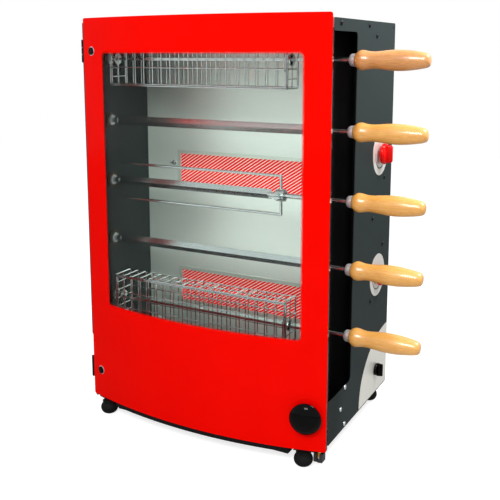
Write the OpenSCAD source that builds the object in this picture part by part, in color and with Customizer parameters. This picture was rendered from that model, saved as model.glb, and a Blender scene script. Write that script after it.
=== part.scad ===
// Countertop rotary grill: five powered skewers turn between a bowed glass door and two
// burners in the back wall. Millimetres, +Z up, the door towards -Y, the handles towards +X.
// Origin: the middle of the footprint, on the floor.

/* [Casing] */
// Width over both side panels
body_w = 504; // [500:1:520]
// Height of the side panels
body_h = 728; // [724:1:740]
// Depth from the front edge of the panels to the rear cover
body_d = 311; // [309:1:325]
// Thickness of the sheet metal
sheet = 1.2; // [1.0:0.1:1.4]
// Height of the casing above the floor
stand_h = 38; // [37:0.5:40]
// Front face of the chamber back wall
back_wall_y = 192; // [190:0.5:196]
// Left face of the inner wall that carries the shafts
support_x = 214; // [212:0.5:217]
// Depth of the open cut-out in the right side panel
cutout_d = 106; // [100:1:112]
// Bottom of that cut-out above the casing's lower edge
cutout_z = 80; // [74:1:84]
// Strip of panel left above that cut-out
cutout_top = 21; // [19:1:23]
// Radius of the cut-out's rear corners
cutout_r = 8; // [5:1:12]
// Width of the folded returns and flanges
flange = 12; // [10:1:14]

/* [Door] */
// Height of the door
door_h = 744; // [738:1:746]
// Lower edge of the door above the floor
door_z = 30; // [29.5:0.5:31]
// Bow of the outer face across the full width
door_bow = 35; // [30:1:40]
// Thickness of the tempered glass
glass_t = 5; // [4:0.5:5.5]
// Thickness of the fired enamel
enamel_t = 0.3; // [0.2:0.1:0.6]
// Outer face at the side edges, ahead of the casing
door_edge = 7; // [6.8:0.1:8]
// Corner radius of the door
door_r = 4; // [3:1:12]
// Left and right edges of the clear window
window_x = [-195, 204]; // [-205:1:210]
// Lower and upper edges of the clear window
window_z = [231, 707]; // [223:1:713]
// Corner radius of the window
window_r = 10; // [4:1:20]
// Distance of the hinge axis outside the casing
hinge_out = 4; // [3.8:0.1:4.5]
// Distance of the hinge axis ahead of the casing
hinge_fwd = 3.6; // [3.5:0.1:4]
// Hinge heights above the floor
hinge_z = [86, 713]; // [78:1:720]
// Height of a hinge leaf
hinge_h = 40; // [36:1:50]
// Hinge pin diameter
hinge_pin = 3; // [2.5:0.1:3.4]
// Screw position from the door's left edge
hinge_screw_x = 24; // [20:1:30]
// Knob position from the door's right edge, and above the door's lower edge
knob_pos = [34, 62]; // [30:1:80]
// Diameter of the door knob
knob_d = 56; // [46:1:60]

/* [Skewers] */
// Number of skewers
skewers = 5; // [5:1:5]
// Spacing of the skewers, which is the pitch diameter of their gears
skewer_pitch = 120; // [120:1:120]
// Height of the lowest skewer above the floor
skewer_z = 218; // [217:0.5:220]
// Depth of the skewer axes
skewer_y = 66; // [65.8:0.1:67]
// Diameter of the round shafts
rod_d = 8; // [7:0.5:9]
// Side of the square driving end
tang = 8; // [7:0.5:8.5]
// Width of the folded blades
blade_w = 18; // [15:1:20]
// Thickness of the blade steel
blade_t = 1.8; // [1.5:0.1:2.5]
// Length of the wooden handles
handle_l = 126; // [120:1:135]
// Largest diameter of the handles
handle_d = 35; // [32:1:36]
// Length of the metal ferrule
ferrule_l = 10; // [8:1:12]
// Left and right ends of the baskets
basket_x = [-231, 149]; // [-232:1:152]
// Wide and narrow sides of a basket
basket_size = [102, 50]; // [46:1:104]
// Thickness of the basket bars
wire = 2.2; // [1.8:0.1:2.6]
// Spacing of the basket's cross bars
wire_pitch = 19.5; // [17:0.5:21]
// Place of the fork's clamp
fork_x = 128; // [126:1:130]
// Half the distance between the fork's tines
fork_half = 35; // [32:1:38]
// Length of the fork's tines
fork_l = 358; // [340:1:360]

/* [Drive] */
// Gear module
gear_module = 2.5; // [2.5:0.5:2.5]
// Teeth of the motor pinion
pinion_teeth = 16; // [16:1:16]
// Face width of the gears
gear_w = 6; // [5:0.5:6]
// Gap between the left panel and the gears
gear_gap = 1.5; // [1.4:0.1:1.8]
// Diameter of the gear hubs
hub_d = 20; // [18:0.5:22]
// Running clearance on a radius
run_fit = 0.05; // [0.02:0.01:0.09]
// Diameter of the gearmotor
motor_d = 60; // [52:1:64]
// Depth of the gearmotor's gearbox
gearbox_l = 18; // [15:1:22]
// Depth of the motor can behind the gearbox
motor_can_l = 14; // [12:1:16]

/* [Heating] */
// Left and right ends of the burner faces
burner_x = [-169, 131]; // [-175:1:140]
// Height of the burner faces
burner_h = 70; // [64:1:76]
// Heights of the two burner centres above the floor
burner_z = [217, 468]; // [208:1:478]
// Depth of the burner boxes
burner_d = 34; // [30:1:36]
// Heights of the two gas knobs above the floor
valve_z = [283, 521]; // [275:1:530]
// Depth of the gas knob axes
valve_y = 240; // [236:1:246]
// Diameter of the gas knobs
gas_knob_d = 40; // [36:1:44]
// Diameter of the scale discs
scale_d = 83; // [76:1:84]
// Place of the selector knob: depth and height above the floor
selector_pos = [243, 88]; // [82:1:248]

/* [Drip drawer and feet] */
// Half width of the drawer tray
tray_half = 185; // [180:1:186]
// Rim height of the tray above the floor
tray_z = 29; // [28.8:0.1:29.2]
// Depth of the tray
tray_depth = 13; // [11:1:14]
// Rear end of the tray
tray_back = 205; // [195:1:210]
// Diameter of the rubber feet
foot_d = 34; // [30:1:36]
// Height of the rubber feet
foot_rubber = 25.3; // [25:0.1:25.5]
// Front feet: half spacing, and depth
foot_front = [212, -12]; // [-14:1:214]
// Rear feet: half spacing, and depth
foot_rear = [225, 288]; // [222:1:292]

/* [Hidden] */
$fn = 64;

// Working gaps shared by the pieces
hair = 0.3;       // flat gap between a moving piece and its neighbour
slip = 0.2;       // gap of a sliding flange in its rail
screw_r = 2;      // casing screw shank
screw_hole = 2.1; // its hole
eps = 0.01;       // overshoot of a cutting solid

// Casing planes
right = body_w / 2;
inner = right - sheet;
z_low = stand_h;
z_top = stand_h + body_h;
rear_in = body_d - sheet;
floor_z = z_low + sheet;
roof_z = z_top - sheet;
cut_low = z_low + cutout_z;
cut_high = z_top - cutout_top;

// Door arc: the outer face is a cylinder about a vertical line at [0, arc_y]
door_w = body_w;
arc_r = door_w * door_w / (8 * door_bow) + door_bow / 2;
arc_y = arc_r - door_bow - door_edge;
glass_in = arc_r - glass_t;
leaf_t = 1.5;
hinge = [-right - hinge_out, -hinge_fwd];
knuckle_r = hinge_out - 0.5;
screw_x = -right + hinge_screw_x;
knob_x = right - knob_pos[0];
knob_z = door_z + knob_pos[1];

// Skewers, counted from the top
function axis_z(k) = skewer_z + (skewers - k) * skewer_pitch;
gear_out = -right - gear_gap - gear_w;
hub_out = gear_out - 2.5;
hub_in = -right + 7;
hub_r = hub_d / 2;
bush_r = hub_r + 2;
tang_gap = 0.3;
tang_tip = hub_out + 1;
blade_left = hub_in + 2;
blade_right = support_x - 24;
ferrule_x = right + 2;
handle_x = ferrule_x + ferrule_l;
handle_end = handle_x + handle_l;
handle_r = handle_d / 2;
rod_r = rod_d / 2;
rod_in_wood = 70;

// Gears
gear_teeth = skewer_pitch / gear_module;
pinion_r = pinion_teeth * gear_module / 2;
motor_y = skewer_y + skewer_pitch / 2 + pinion_r;
motor_z = axis_z(3);
motor_r = motor_d / 2;
motor_shaft_r = 4;
bracket_x = hub_out - 1.5;
bracket_t = 2;
gearbox_x = bracket_x - bracket_t;
cover_wall = 1.2;
cover_x = gearbox_x + 0.3;
motor_cover_x = gearbox_x - gearbox_l - motor_can_l - 2.5 - cover_wall;
gear_r = skewer_pitch / 2 + gear_module;
cover_front = 1.2;
cover_back = skewer_y + gear_r + 6;
cover_low = axis_z(skewers) - gear_r - 5;
cover_high = z_top - 0.5;
motor_box = [motor_y + motor_r + 14, motor_r + 18];
cover_tabs = [cover_low + 30, motor_z - 130, motor_z + 130, cover_high - 30];

// Drawer and feet
lip_half = tray_half + 3;
rail_x = tray_half + 7;
bracket_low = foot_rubber + 2;
bracket_high = bracket_low + sheet;

// Gas
manifold_x = 226;
manifold_y = valve_y + 28;
manifold_r = 9;
valve_x = 222;
feed_x = valve_x + 14;
burner_mid_y = back_wall_y + 20;
inlet_z = z_low + 45;
inlet_y = body_d + 26;

// Footprint at rest
x_mid = (handle_end + motor_cover_x) / 2;
y_mid = (inlet_y - arc_r + arc_y - enamel_t) / 2;

// ---------- shared shapes ----------

// Moves the casing's own axes onto the footprint's middle
module placed() {
  translate([-x_mid, -y_mid, 0]) children();
}

// Flat outline in Y and Z, thickened along +X from x0
module yz(x0, t) {
  translate([x0, 0, 0]) rotate([90, 0, 90]) linear_extrude(t) children();
}

// Flat outline in X and Z, thickened along +Y from y0
module xz(y0, t) {
  translate([0, y0 + t, 0]) rotate([90, 0, 0]) linear_extrude(t) children();
}

// Cylinder along +X from x0
module rod_x(x0, l, r, y, z) {
  translate([x0, y, z]) rotate([0, 90, 0]) cylinder(h = l, r = r);
}

// Cylinder along +Y from y0
module rod_y(y0, l, r, x, z) {
  translate([x, y0, z]) rotate([-90, 0, 0]) cylinder(h = l, r = r);
}

// Block between two corners
module block(a, b) {
  translate(a) cube(b - a);
}

// Rectangle with true round corners
module round_rect(a, b, r) {
  translate([a[0] + r, a[1]]) square([b[0] - a[0] - 2 * r, b[1] - a[1]]);
  translate([a[0], a[1] + r]) square([b[0] - a[0], b[1] - a[1] - 2 * r]);
  for (x = [a[0] + r, b[0] - r], z = [a[1] + r, b[1] - r]) translate([x, z]) circle(r);
}

// Shell between two radii of the door's arc, between two x values
module bowed(r_in, r_out, x0, x1, z0, h) {
  translate([0, arc_y, z0]) linear_extrude(h) intersection() {
    difference() {
      circle(r_out, $fn = 360);
      circle(r_in, $fn = 360);
    }
    translate([x0, -r_out - 1]) square([x1 - x0, 120]);
  }
}

// Puts a piece modelled along -Y onto the door's outer face
module on_door(x, z) {
  translate([0, arc_y, z]) rotate([0, 0, asin(x / arc_r)]) translate([0, -arc_r, 0]) children();
}

// Pan-head screw: the head rises along +Z from the origin, the shank goes down
module pan_screw(shank = 2.4) {
  translate([0, 0, -shank]) cylinder(h = shank, r = screw_r);
  rotate_extrude() polygon([[0, 0], [4.2, 0], [4.2, 0.9], [3.6, 1.8], [2.2, 2.3], [0, 2.4]]);
}

// ---------- screw positions ----------
panel_screws = [[28.5, z_top - 8], [back_wall_y - 28, z_top - 8],
                [back_wall_y + 13, z_top - 26], [back_wall_y + 13, z_top - 193],
                [back_wall_y + 13, z_top - 365], [back_wall_y + 13, z_top - 527],
                [77, cut_low - 2], [57, cut_low - 36], [77, cut_low - 72]];
strap_z = [valve_z[0] + 56, valve_z[1] - 49];
rear_screws = [for (x = [-1, 1], z = [z_low + 30, (z_low + z_top) / 2, z_top - 30])
               [x * (inner - flange / 2), z]];

// ---------- casing ----------
module panel_outline() {
  round_rect([0, z_low], [body_d, z_top], 4);
}

module panel_return(x0) {
  block([x0, rear_in - sheet, z_low + 10], [x0 + flange, rear_in, z_top - 14]);
}

module side_panel_right() placed() color("#2b2f31") {
  yz(inner, sheet) difference() {
    panel_outline();
    round_rect([-20, cut_low], [cutout_d, cut_high], cutout_r);
    for (s = panel_screws) translate(s) circle(screw_hole);
    for (z = valve_z) translate([valve_y, z]) circle(9);
    for (z = strap_z) translate([manifold_y, z]) circle(screw_hole);
    translate(selector_pos) circle(5);
    translate([body_d - 11, z_top - 4 - 5]) circle(2.2);
  }
  difference() {
    panel_return(inner - flange);
    for (s = rear_screws) if (s[0] > 0) rod_y(rear_in - 5, 9, screw_hole, s[0], s[1]);
  }
}

module side_panel_left() placed() color("#2b2f31") {
  yz(-right, sheet) difference() {
    panel_outline();
    for (k = [1:skewers]) translate([skewer_y, axis_z(k)]) circle(bush_r + run_fit);
    for (z = cover_tabs) translate([cover_back + flange / 2, z]) circle(screw_hole);
    for (i = [0:5]) translate(panel_screws[i]) circle(screw_hole);
  }
  difference() {
    panel_return(-inner);
    for (s = rear_screws) if (s[0] < 0) rod_y(rear_in - 5, 9, screw_hole, s[0], s[1]);
  }
}

module roof_panel() placed() color("#c9ccca") {
  difference() {
    block([-inner, 0, roof_z], [inner, rear_in, z_top]);
    for (x = [-180:40:180]) block([x - 14, back_wall_y + 30, roof_z - 1],
                                  [x + 14, back_wall_y + 36, z_top + 1]);
    for (x = [-180:40:180]) block([x - 14, back_wall_y + 54, roof_z - 1],
                                  [x + 14, back_wall_y + 60, z_top + 1]);
  }
  block([-inner, 0, cut_high + 5], [inner, sheet, roof_z]);
  for (s = [-1, 1]) difference() {
    block([s > 0 ? inner - sheet : -inner, flange, z_top - 14],
          [s > 0 ? inner : -inner + sheet, back_wall_y - 1, roof_z]);
    for (p = [panel_screws[0], panel_screws[1]]) rod_x(s > 0 ? inner - 3 : -inner - 1, 4,
                                                       screw_hole, p[0], p[1]);
  }
}

module rear_cover() placed() color("#2b2f31") {
  xz(rear_in, sheet) difference() {
    translate([-inner, floor_z]) square([2 * inner, roof_z - floor_z]);
    for (s = rear_screws) translate(s) circle(screw_hole);
    for (x = [-160, 0, 160], z = [-60:16:60]) for (h = [0.3, 0.72])
      translate([x - 45, z_low + body_h * h + z]) square([90, 6]);
    translate([manifold_x, inlet_z]) circle(manifold_r + slip);
    translate([socket_x - 14, inlet_z - 11]) square([28, 22]);
  }
}
socket_x = 168;

module base_panel() placed() color("#2b2f31") {
  difference() {
    block([-inner, 0, z_low], [inner, rear_in, floor_z]);
    block([-drain_half, 24, z_low - 1], [drain_half, back_wall_y - 16, floor_z + 1]);
  }
  block([-inner, 0, floor_z], [inner, sheet, floor_z + 16]);
}
drain_half = tray_half - 15;

module chamber_back_wall() placed() color("#b9beb6") {
  xz(back_wall_y, sheet) difference() {
    translate([-inner, floor_z]) square([2 * inner, roof_z - floor_z]);
    for (z = burner_z) translate([burner_x[0] - 3, z - burner_h / 2 - 3])
      square([burner_x[1] - burner_x[0] + 6, burner_h + 6]);
    for (x = [-150:30:150]) translate([x - 10, roof_z - 46]) square([20, 8]);
  }
  for (s = [-1, 1]) difference() {
    block([s > 0 ? inner - sheet : -inner, back_wall_y + sheet, floor_z],
          [s > 0 ? inner : -inner + sheet, back_wall_y + 24, roof_z]);
    for (i = [2:5]) rod_x(s > 0 ? inner - 3 : -inner - 1, 4, screw_hole,
                          panel_screws[i][0], panel_screws[i][1]);
  }
}

// Open slot that lets a shaft be lifted over a low step and drawn out to the front
slot_step = 2;
slot_gap = 0.15;
module shaft_slot(z) {
  translate([skewer_y, z]) circle(rod_r + slot_gap);
  translate([-5, z - rod_r + slot_step]) square([skewer_y + 5, rod_d]);
  translate([skewer_y - rod_r - slot_gap, z]) square([rod_d + 2 * slot_gap, rod_r + slot_step]);
}

// Rear sheet with the seats of the shafts, and front plates that leave the slots between them
wall_joint = skewer_y - rod_r - 0.5;
module skewer_support_wall() placed() color("#1c1e1f") {
  yz(support_x, sheet) difference() {
    translate([wall_joint, floor_z])
      square([back_wall_y - sheet - wall_joint, roof_z - floor_z]);
    for (k = [1:skewers]) shaft_slot(axis_z(k));
  }
  for (k = [0:skewers]) {
    low = k == 0 ? floor_z : axis_z(skewers + 1 - k) + rod_r + slot_step;
    high = k == skewers ? roof_z : axis_z(skewers - k) - rod_r + slot_step;
    block([support_x, sheet + 0.8, low], [support_x + sheet, wall_joint - 0.1, high]);
  }
  block([support_x + sheet, back_wall_y - sheet, floor_z],
        [support_x + sheet + flange, back_wall_y, roof_z]);
}

// ---------- feet ----------
// Folded bracket that steps down from the casing floor and carries one front foot
module front_bracket(s) {
  x0 = foot_front[0] - foot_d / 2 + 1;
  mirror([s < 0 ? 1 : 0, 0, 0]) {
    block([rail_x + flange + 1, sheet + 0.8, z_low - sheet], [inner - 2, 24, z_low]);
    block([x0, 0.8, bracket_low], [inner - 2, 0.8 + sheet, z_low]);
    difference() {
      bowed(arc_r - 40, arc_r - 0.5, x0, inner - 2, bracket_low, sheet);
      block([x0 - 1, 0.8 + sheet, bracket_low - 1], [inner, 60, bracket_high + 1]);
      translate([foot_front[0], foot_front[1], bracket_low - 1]) cylinder(h = 4, r = 4.2);
      translate([catch_x, catch_y, bracket_low - 1]) cylinder(h = 4, r = plunger_r + hair);
    }
  }
}

// Folded bracket under one rear corner
module rear_bracket(s) {
  y0 = foot_rear[1] - 20;
  mirror([s < 0 ? 1 : 0, 0, 0]) {
    block([foot_rear[0] - 18, y0 - 18, z_low - sheet], [foot_rear[0] + 18, y0 + sheet, z_low]);
    block([foot_rear[0] - 18, y0, bracket_low], [foot_rear[0] + 18, y0 + sheet, z_low - sheet]);
    difference() {
      block([foot_rear[0] - 18, y0 + sheet, bracket_low],
            [foot_rear[0] + 18, foot_rear[1] + 18, bracket_high]);
      translate([foot_rear[0], foot_rear[1], bracket_low - 1]) cylinder(h = 4, r = 4.2);
    }
    block([foot_rear[0] - 18, foot_rear[1] + 18 - sheet, bracket_high],
          [foot_rear[0] + 18, foot_rear[1] + 18, z_low]);
  }
}

module foot_brackets() placed() color("#1c1e1f") {
  for (s = [-1, 1]) {
    front_bracket(s);
    rear_bracket(s);
  }
}

foot_spots = [for (s = [-1, 1]) for (f = [foot_front, foot_rear]) [s * f[0], f[1]]];

// Domed rubber buffers: a belly that rounds in to the rest face, a neck and a top flange
module feet() placed() color("#141414") {
  r = foot_d / 2;
  h = foot_rubber;
  belly = h * 0.47;
  for (p = foot_spots) translate([p[0], p[1], 0]) rotate_extrude()
    polygon(concat([[4.1, 5], [0, 5], [0, 0]],
                   [for (a = [-90:10:50]) [r - belly + belly * cos(a), belly + belly * sin(a)]],
                   [[r * 0.72, h * 0.87], [r * 0.78, h * 0.92], [r * 0.78, h], [4.1, h]]));
}

// Steel washer and bolt of each foot
module foot_bolts() placed() color("#b8bcc0") {
  for (p = foot_spots) translate([p[0], p[1], 0]) {
    translate([0, 0, 5.2]) cylinder(h = bracket_high - 5.2, r = 4);
    translate([0, 0, foot_rubber]) cylinder(h = bracket_low - foot_rubber, r = 11);
    translate([0, 0, bracket_high]) cylinder(h = 0.9, r = 7);
  }
}

// ---------- heating ----------
burner_mid_x = (burner_x[0] + burner_x[1]) / 2;
burner_w = burner_x[1] - burner_x[0];
burner_t = 1.5;
rim_w = 6;
tube_r = 11;
bell_x = support_x - 20;

module burners() placed() color("#c4c8c8") for (z = burner_z) {
  difference() {
    union() {
      block([burner_x[0], back_wall_y - burner_t, z - burner_h / 2],
            [burner_x[1], back_wall_y + burner_d, z + burner_h / 2]);
      block([burner_x[0] - rim_w, back_wall_y - burner_t, z - burner_h / 2 - rim_w],
            [burner_x[1] + rim_w, back_wall_y, z + burner_h / 2 + rim_w]);
      rod_x(burner_x[1] - 2, bell_x - burner_x[1] + 2, tube_r, burner_mid_y, z);
      rod_x(bell_x - 6, 10, tube_r + 3, burner_mid_y, z);
    }
    block([burner_x[0] + burner_t, back_wall_y - burner_t - 1, z - burner_h / 2 + burner_t],
          [burner_x[1] - burner_t, back_wall_y + burner_d - burner_t, z + burner_h / 2 - burner_t]);
    rod_x(burner_x[1] - 5, bell_x - burner_x[1] + 20, tube_r - 1.5, burner_mid_y, z);
  }
}

// Two ceramic tiles in each burner
module burner_tiles() placed() color("#c03a24") {
  t_w = burner_w / 2 - burner_t;
  for (z = burner_z, x = [burner_mid_x - t_w, burner_mid_x])
    block([x + 0.2, back_wall_y + 1, z - burner_h / 2 + burner_t],
          [x + t_w - 0.2, back_wall_y + 13, z + burner_h / 2 - burner_t]);
}

module gas_manifold() placed() color("#8f9496") {
  top = valve_z[1] + 20;
  difference() {
    translate([manifold_x, manifold_y, inlet_z]) cylinder(h = top - inlet_z, r = manifold_r);
    translate([manifold_x, manifold_y, inlet_z + 4])
      cylinder(h = top - inlet_z - 8, r = manifold_r - 2);
  }
  for (z = valve_z) rod_y(valve_y + 12, manifold_y - manifold_r + 1 - valve_y - 12, 6,
                          manifold_x, z);
  // Elbow and hose spigot through the rear cover
  translate([manifold_x, manifold_y, inlet_z]) sphere(manifold_r);
  rod_y(manifold_y, inlet_y - manifold_y, 6, manifold_x, inlet_z);
  rod_y(rear_in - 4, 4 + sheet, manifold_r, manifold_x, inlet_z);
  // Straps to the right side panel
  for (z = strap_z) difference() {
    union() {
      block([manifold_x + manifold_r - 1, manifold_y - 9, z - 7],
            [inner, manifold_y + 9, z - 5.5]);
      block([inner - sheet, manifold_y - 9, z - 5.5], [inner, manifold_y + 9, z + 7]);
    }
    rod_x(inner - 3, 4, screw_hole, manifold_y, z);
  }
}

valve_x1 = inner - 4;
module gas_valve(z) placed() color("#a8894a") {
  difference() {
    union() {
      block([valve_x, valve_y - 12, z - 12], [valve_x1, valve_y + 12, z + 12]);
      rod_x(valve_x1, right - valve_x1, 8.9, valve_y, z);
    }
    rod_x(valve_x + 8, 40, 4 + run_fit, valve_y, z);
  }
}
module gas_valve_lower() gas_valve(valve_z[0]);
module gas_valve_upper() gas_valve(valve_z[1]);

// Pipe from each valve to the nozzle in the mouth of the mixing tube
module gas_feeds() placed() color("#b5934a") for (i = [0, 1]) {
  z = burner_z[i];
  translate([feed_x, valve_y, z]) cylinder(h = valve_z[i] - 12 - z, r = 4);
  translate([feed_x, valve_y, z]) sphere(4);
  rod_y(burner_mid_y, valve_y - burner_mid_y, 4, feed_x, z);
  translate([feed_x, burner_mid_y, z]) sphere(4);
  rod_x(bell_x + 2, feed_x - bell_x - 2, 4, burner_mid_y, z);
  rod_x(bell_x - 1, 7, tube_r - 1.5, burner_mid_y, z);
}

module scale_discs() placed() color("#c9ccd0") {
  for (z = valve_z) yz(right, 0.8) difference() {
    translate([valve_y, z]) circle(scale_d / 2);
    translate([valve_y, z]) circle(7);
  }
}

// Quarter-oval plate in the lower rear corner of the right panel
plate_w = 157;
plate_h = 124;
module control_plate() placed() color("#c9ccd0") {
  yz(right, 0.8) difference() {
    polygon(concat([[body_d - 2, z_low + 3]],
                   [for (a = [90:5:180]) [body_d - 2 + plate_w * cos(a),
                                          z_low + 3 + plate_h * sin(a)]]));
    translate(selector_pos) circle(5);
  }
}

module selector_switch() placed() color("#262626") {
  y = selector_pos[0];
  z = selector_pos[1];
  difference() {
    union() {
      block([inner - 24, y - 13, z - 13], [inner, y + 13, z + 13]);
      rod_x(inner - 1, sheet + 1, 4.8, y, z);
      for (d = [-7, 0, 7]) block([inner - 32, y + d - 2, z - 0.5], [inner - 24, y + d + 2, z + 0.5]);
    }
    rod_x(inner - 14, 30, 3 + run_fit, y, z);
  }
}

module mains_inlet() placed() color("#1a1a1a") {
  x = socket_x;
  z = inlet_z;
  difference() {
    union() {
      block([x - 13.8, rear_in - 18, z - 10.8], [x + 13.8, body_d, z + 10.8]);
      block([x - 17, body_d, z - 14], [x + 17, body_d + 2, z + 14]);
    }
    block([x - 12, rear_in - 14, z - 8], [x + 12, body_d + 3, z + 8]);
  }
  for (p = [[-7, 2], [7, 2], [0, -3]]) block([x + p[0] - 1, rear_in - 15, z + p[1] - 2.5],
                                             [x + p[0] + 1, body_d - 3, z + p[1] + 2.5]);
}

// ---------- drive ----------
// Spur gear outline: trapezium teeth on the pitch circle, backlash taken off each flank
module gear_outline(teeth, turn) {
  m = gear_module;
  rp = teeth * m / 2;
  step = 360 / teeth;
  tip = step * 0.11;
  flank = step * 0.235;
  root = step * 0.36;
  rotate(turn) polygon([for (i = [0:teeth - 1]) for (p = [[-root, rp - 1.25 * m], [-flank, rp],
    [-tip, rp + 0.92 * m], [tip, rp + 0.92 * m], [flank, rp], [root, rp - 1.25 * m]])
    p[1] * [cos(i * step + p[0]), sin(i * step + p[0])]]);
}

// Every second gear is turned by half a tooth, so that neighbours mesh
module skewer_gear(k) placed() color("#9aa0a4") {
  z = axis_z(k);
  turn = k % 2 == 0 ? 180 / gear_teeth : 0;
  s = tang / 2 + tang_gap;
  difference() {
    union() {
      yz(gear_out, gear_w) translate([skewer_y, z]) difference() {
        gear_outline(gear_teeth, turn);
        for (a = [0:60:300]) rotate(a + 30) translate([35, 0]) circle(11);
      }
      rod_x(hub_out, hub_in - hub_out, hub_r, skewer_y, z);
    }
    block([hub_out - 1, skewer_y - s, z - s], [hub_in + 1, skewer_y + s, z + s]);
  }
}
module gear_1() skewer_gear(1);
module gear_2() skewer_gear(2);
module gear_3() skewer_gear(3);
module gear_4() skewer_gear(4);
module gear_5() skewer_gear(5);

module motor_pinion() placed() color("#b08d46") {
  yz(gear_out, gear_w) translate([motor_y, motor_z]) gear_outline(pinion_teeth, 180 / pinion_teeth);
  rod_x(gearbox_x - 12, gear_out - gearbox_x + 13, motor_shaft_r, motor_y, motor_z);
}

module gear_bushes() placed() color("#b08d46") {
  for (k = [1:skewers]) difference() {
    union() {
      rod_x(-right - gear_gap + hair, gear_gap - hair + sheet + 3, bush_r, skewer_y, axis_z(k));
      rod_x(-inner, 2, bush_r + 3, skewer_y, axis_z(k));
    }
    rod_x(-right - 5, 20, hub_r + run_fit, skewer_y, axis_z(k));
  }
}

// Gearbox and motor can on a plate that stands on four posts
module gearmotor() placed() color("#7f868a") {
  difference() {
    union() {
      yz(gearbox_x, bracket_t) round_rect([motor_y - 26, motor_z - 42],
                                          [motor_y + 40, motor_z + 42], 5);
      rod_x(gearbox_x - gearbox_l, gearbox_l, motor_r, motor_y, motor_z);
      rod_x(gearbox_x - gearbox_l - motor_can_l, motor_can_l, motor_r * 0.75, motor_y, motor_z);
      for (p = [[-16, -35], [-16, 35], [33, -35], [33, 35]])
        rod_x(bracket_x, -right - bracket_x, 4, motor_y + p[0], motor_z + p[1]);
    }
    rod_x(gearbox_x - 13, 30, motor_shaft_r + run_fit, motor_y, motor_z);
  }
}

// Pressed cover over the gear train, with a deeper box over the motor
module cover_profile(inset) {
  i = inset;
  polygon([[-right + eps * i, cover_front + i], [gear_out - 2.2 + i, cover_front + 0.6 + i],
           [cover_x - cover_wall + i, 13], [cover_x - cover_wall + i, cover_back - i],
           [-right + eps * i, cover_back - i]]);
}
module drive_cover() placed() color("#232627") {
  w = cover_wall;
  difference() {
    union() {
      translate([0, 0, cover_low]) linear_extrude(cover_high - cover_low) cover_profile(0);
      block([motor_cover_x, skewer_y + 18, motor_z - motor_box[1]],
            [-right, motor_box[0], motor_z + motor_box[1]]);
    }
    translate([0, 0, cover_low + w]) linear_extrude(cover_high - cover_low - 2 * w)
      cover_profile(w);
    block([motor_cover_x + w, skewer_y + 18 + w, motor_z - motor_box[1] + w],
          [-right + 1, motor_box[0] - w, motor_z + motor_box[1] - w]);
    // Open side towards the panel
    block([-right - 1, cover_front + w, cover_low + w],
          [-right + 1, cover_back - w, cover_high - w]);
    for (z = [-28:8:28]) block([motor_cover_x - 1, motor_y - 22, motor_z + z - 1.5],
                               [motor_cover_x + w + 1, motor_y + 22, motor_z + z + 1.5]);
  }
  // Screw tabs along the rear edge
  for (z = cover_tabs) yz(-right - sheet, sheet) difference() {
    round_rect([cover_back - 1, z - 8], [cover_back + flange, z + 8], 3);
    translate([cover_back + flange / 2, z]) circle(screw_hole);
  }
}

// ---------- door ----------
module hinge_knuckle(z, h) {
  difference() {
    translate([hinge[0], hinge[1], z]) cylinder(h = h, r = knuckle_r);
    translate([hinge[0], hinge[1], z - 1]) cylinder(h = h + 2, r = hinge_pin / 2 + run_fit);
  }
}

leaf_y = -hinge_fwd + 2;
module hinge_brackets() placed() color("#151515") for (z = hinge_z) {
  third = hinge_h / 3;
  for (s = [-1, 1]) {
    z0 = z + s * third - third / 2 + (s > 0 ? hair : 0);
    difference() {
      union() {
        hinge_knuckle(z0, third - hair);
        block([hinge[0], leaf_y, z0], [-inner + leaf_t, leaf_y + 1.3, z0 + third - hair]);
      }
      translate([hinge[0], hinge[1], z - hinge_h])
        cylinder(h = 2 * hinge_h, r = hinge_pin / 2 + run_fit);
    }
  }
  difference() {
    block([-inner, leaf_y, z - hinge_h / 2], [-inner + leaf_t, 30, z + hinge_h / 2]);
    block([-inner - 1, leaf_y - 1, z - third / 2 - hair],
          [-inner + 3, 0.8, z + third / 2 + hair]);
  }
  // Pin with a head, held by the lower knuckle
  translate([hinge[0], hinge[1], z - hinge_h / 2 + eps]) cylinder(h = hinge_h, r = hinge_pin / 2);
  translate([hinge[0], hinge[1], z + hinge_h / 2]) cylinder(h = 1.2, r = knuckle_r);
  translate([hinge[0], hinge[1], z - hinge_h / 2 - 1.2]) cylinder(h = 1.2, r = knuckle_r);
}

module door_hinge_leaves() placed() color("#151515") for (z = hinge_z) {
  third = hinge_h / 3;
  h = third - 2 * hair;
  difference() {
    union() {
      hinge_knuckle(z - h / 2, h);
      block([hinge[0], leaf_y - 0.15, z - h / 2], [-right + 6, leaf_y + 0.9, z + h / 2]);
      bowed(glass_in - leaf_t, glass_in, -right + 4, -right + 38, z - hinge_h / 2, hinge_h);
    }
    translate([hinge[0], hinge[1], z - hinge_h])
      cylinder(h = 2 * hinge_h, r = hinge_pin / 2 + run_fit);
    on_door(screw_x, z) rod_y(-5, 20, 2.6, 0, 0);
  }
}

module door_outline(x0, x1, z0, z1, r) {
  xz(-80, 120) round_rect([x0, z0], [x1, z1], r);
}

module door_glass() placed() color("#cfe3df", 0.3) difference() {
  intersection() {
    bowed(glass_in, arc_r, -right - 5, right + 5, door_z - 5, door_h + 10);
    door_outline(-right, right, door_z, door_z + door_h, door_r);
  }
  for (z = hinge_z) on_door(screw_x, z) rod_y(-5, 20, 3.5, 0, 0);
  on_door(knob_x, knob_z) rod_y(-5, 20, 4, 0, 0);
}

module door_enamel() placed() color("#d40a00") difference() {
  intersection() {
    bowed(arc_r, arc_r + enamel_t, -right - 5, right + 5, door_z - 5, door_h + 10);
    door_outline(-right, right, door_z, door_z + door_h, door_r);
  }
  door_outline(window_x[0], window_x[1], window_z[0], window_z[1], window_r);
  for (z = hinge_z) on_door(screw_x, z) rod_y(-5, 20, 3.5, 0, 0);
  on_door(knob_x, knob_z) rod_y(-5, 20, 4, 0, 0);
}

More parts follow.
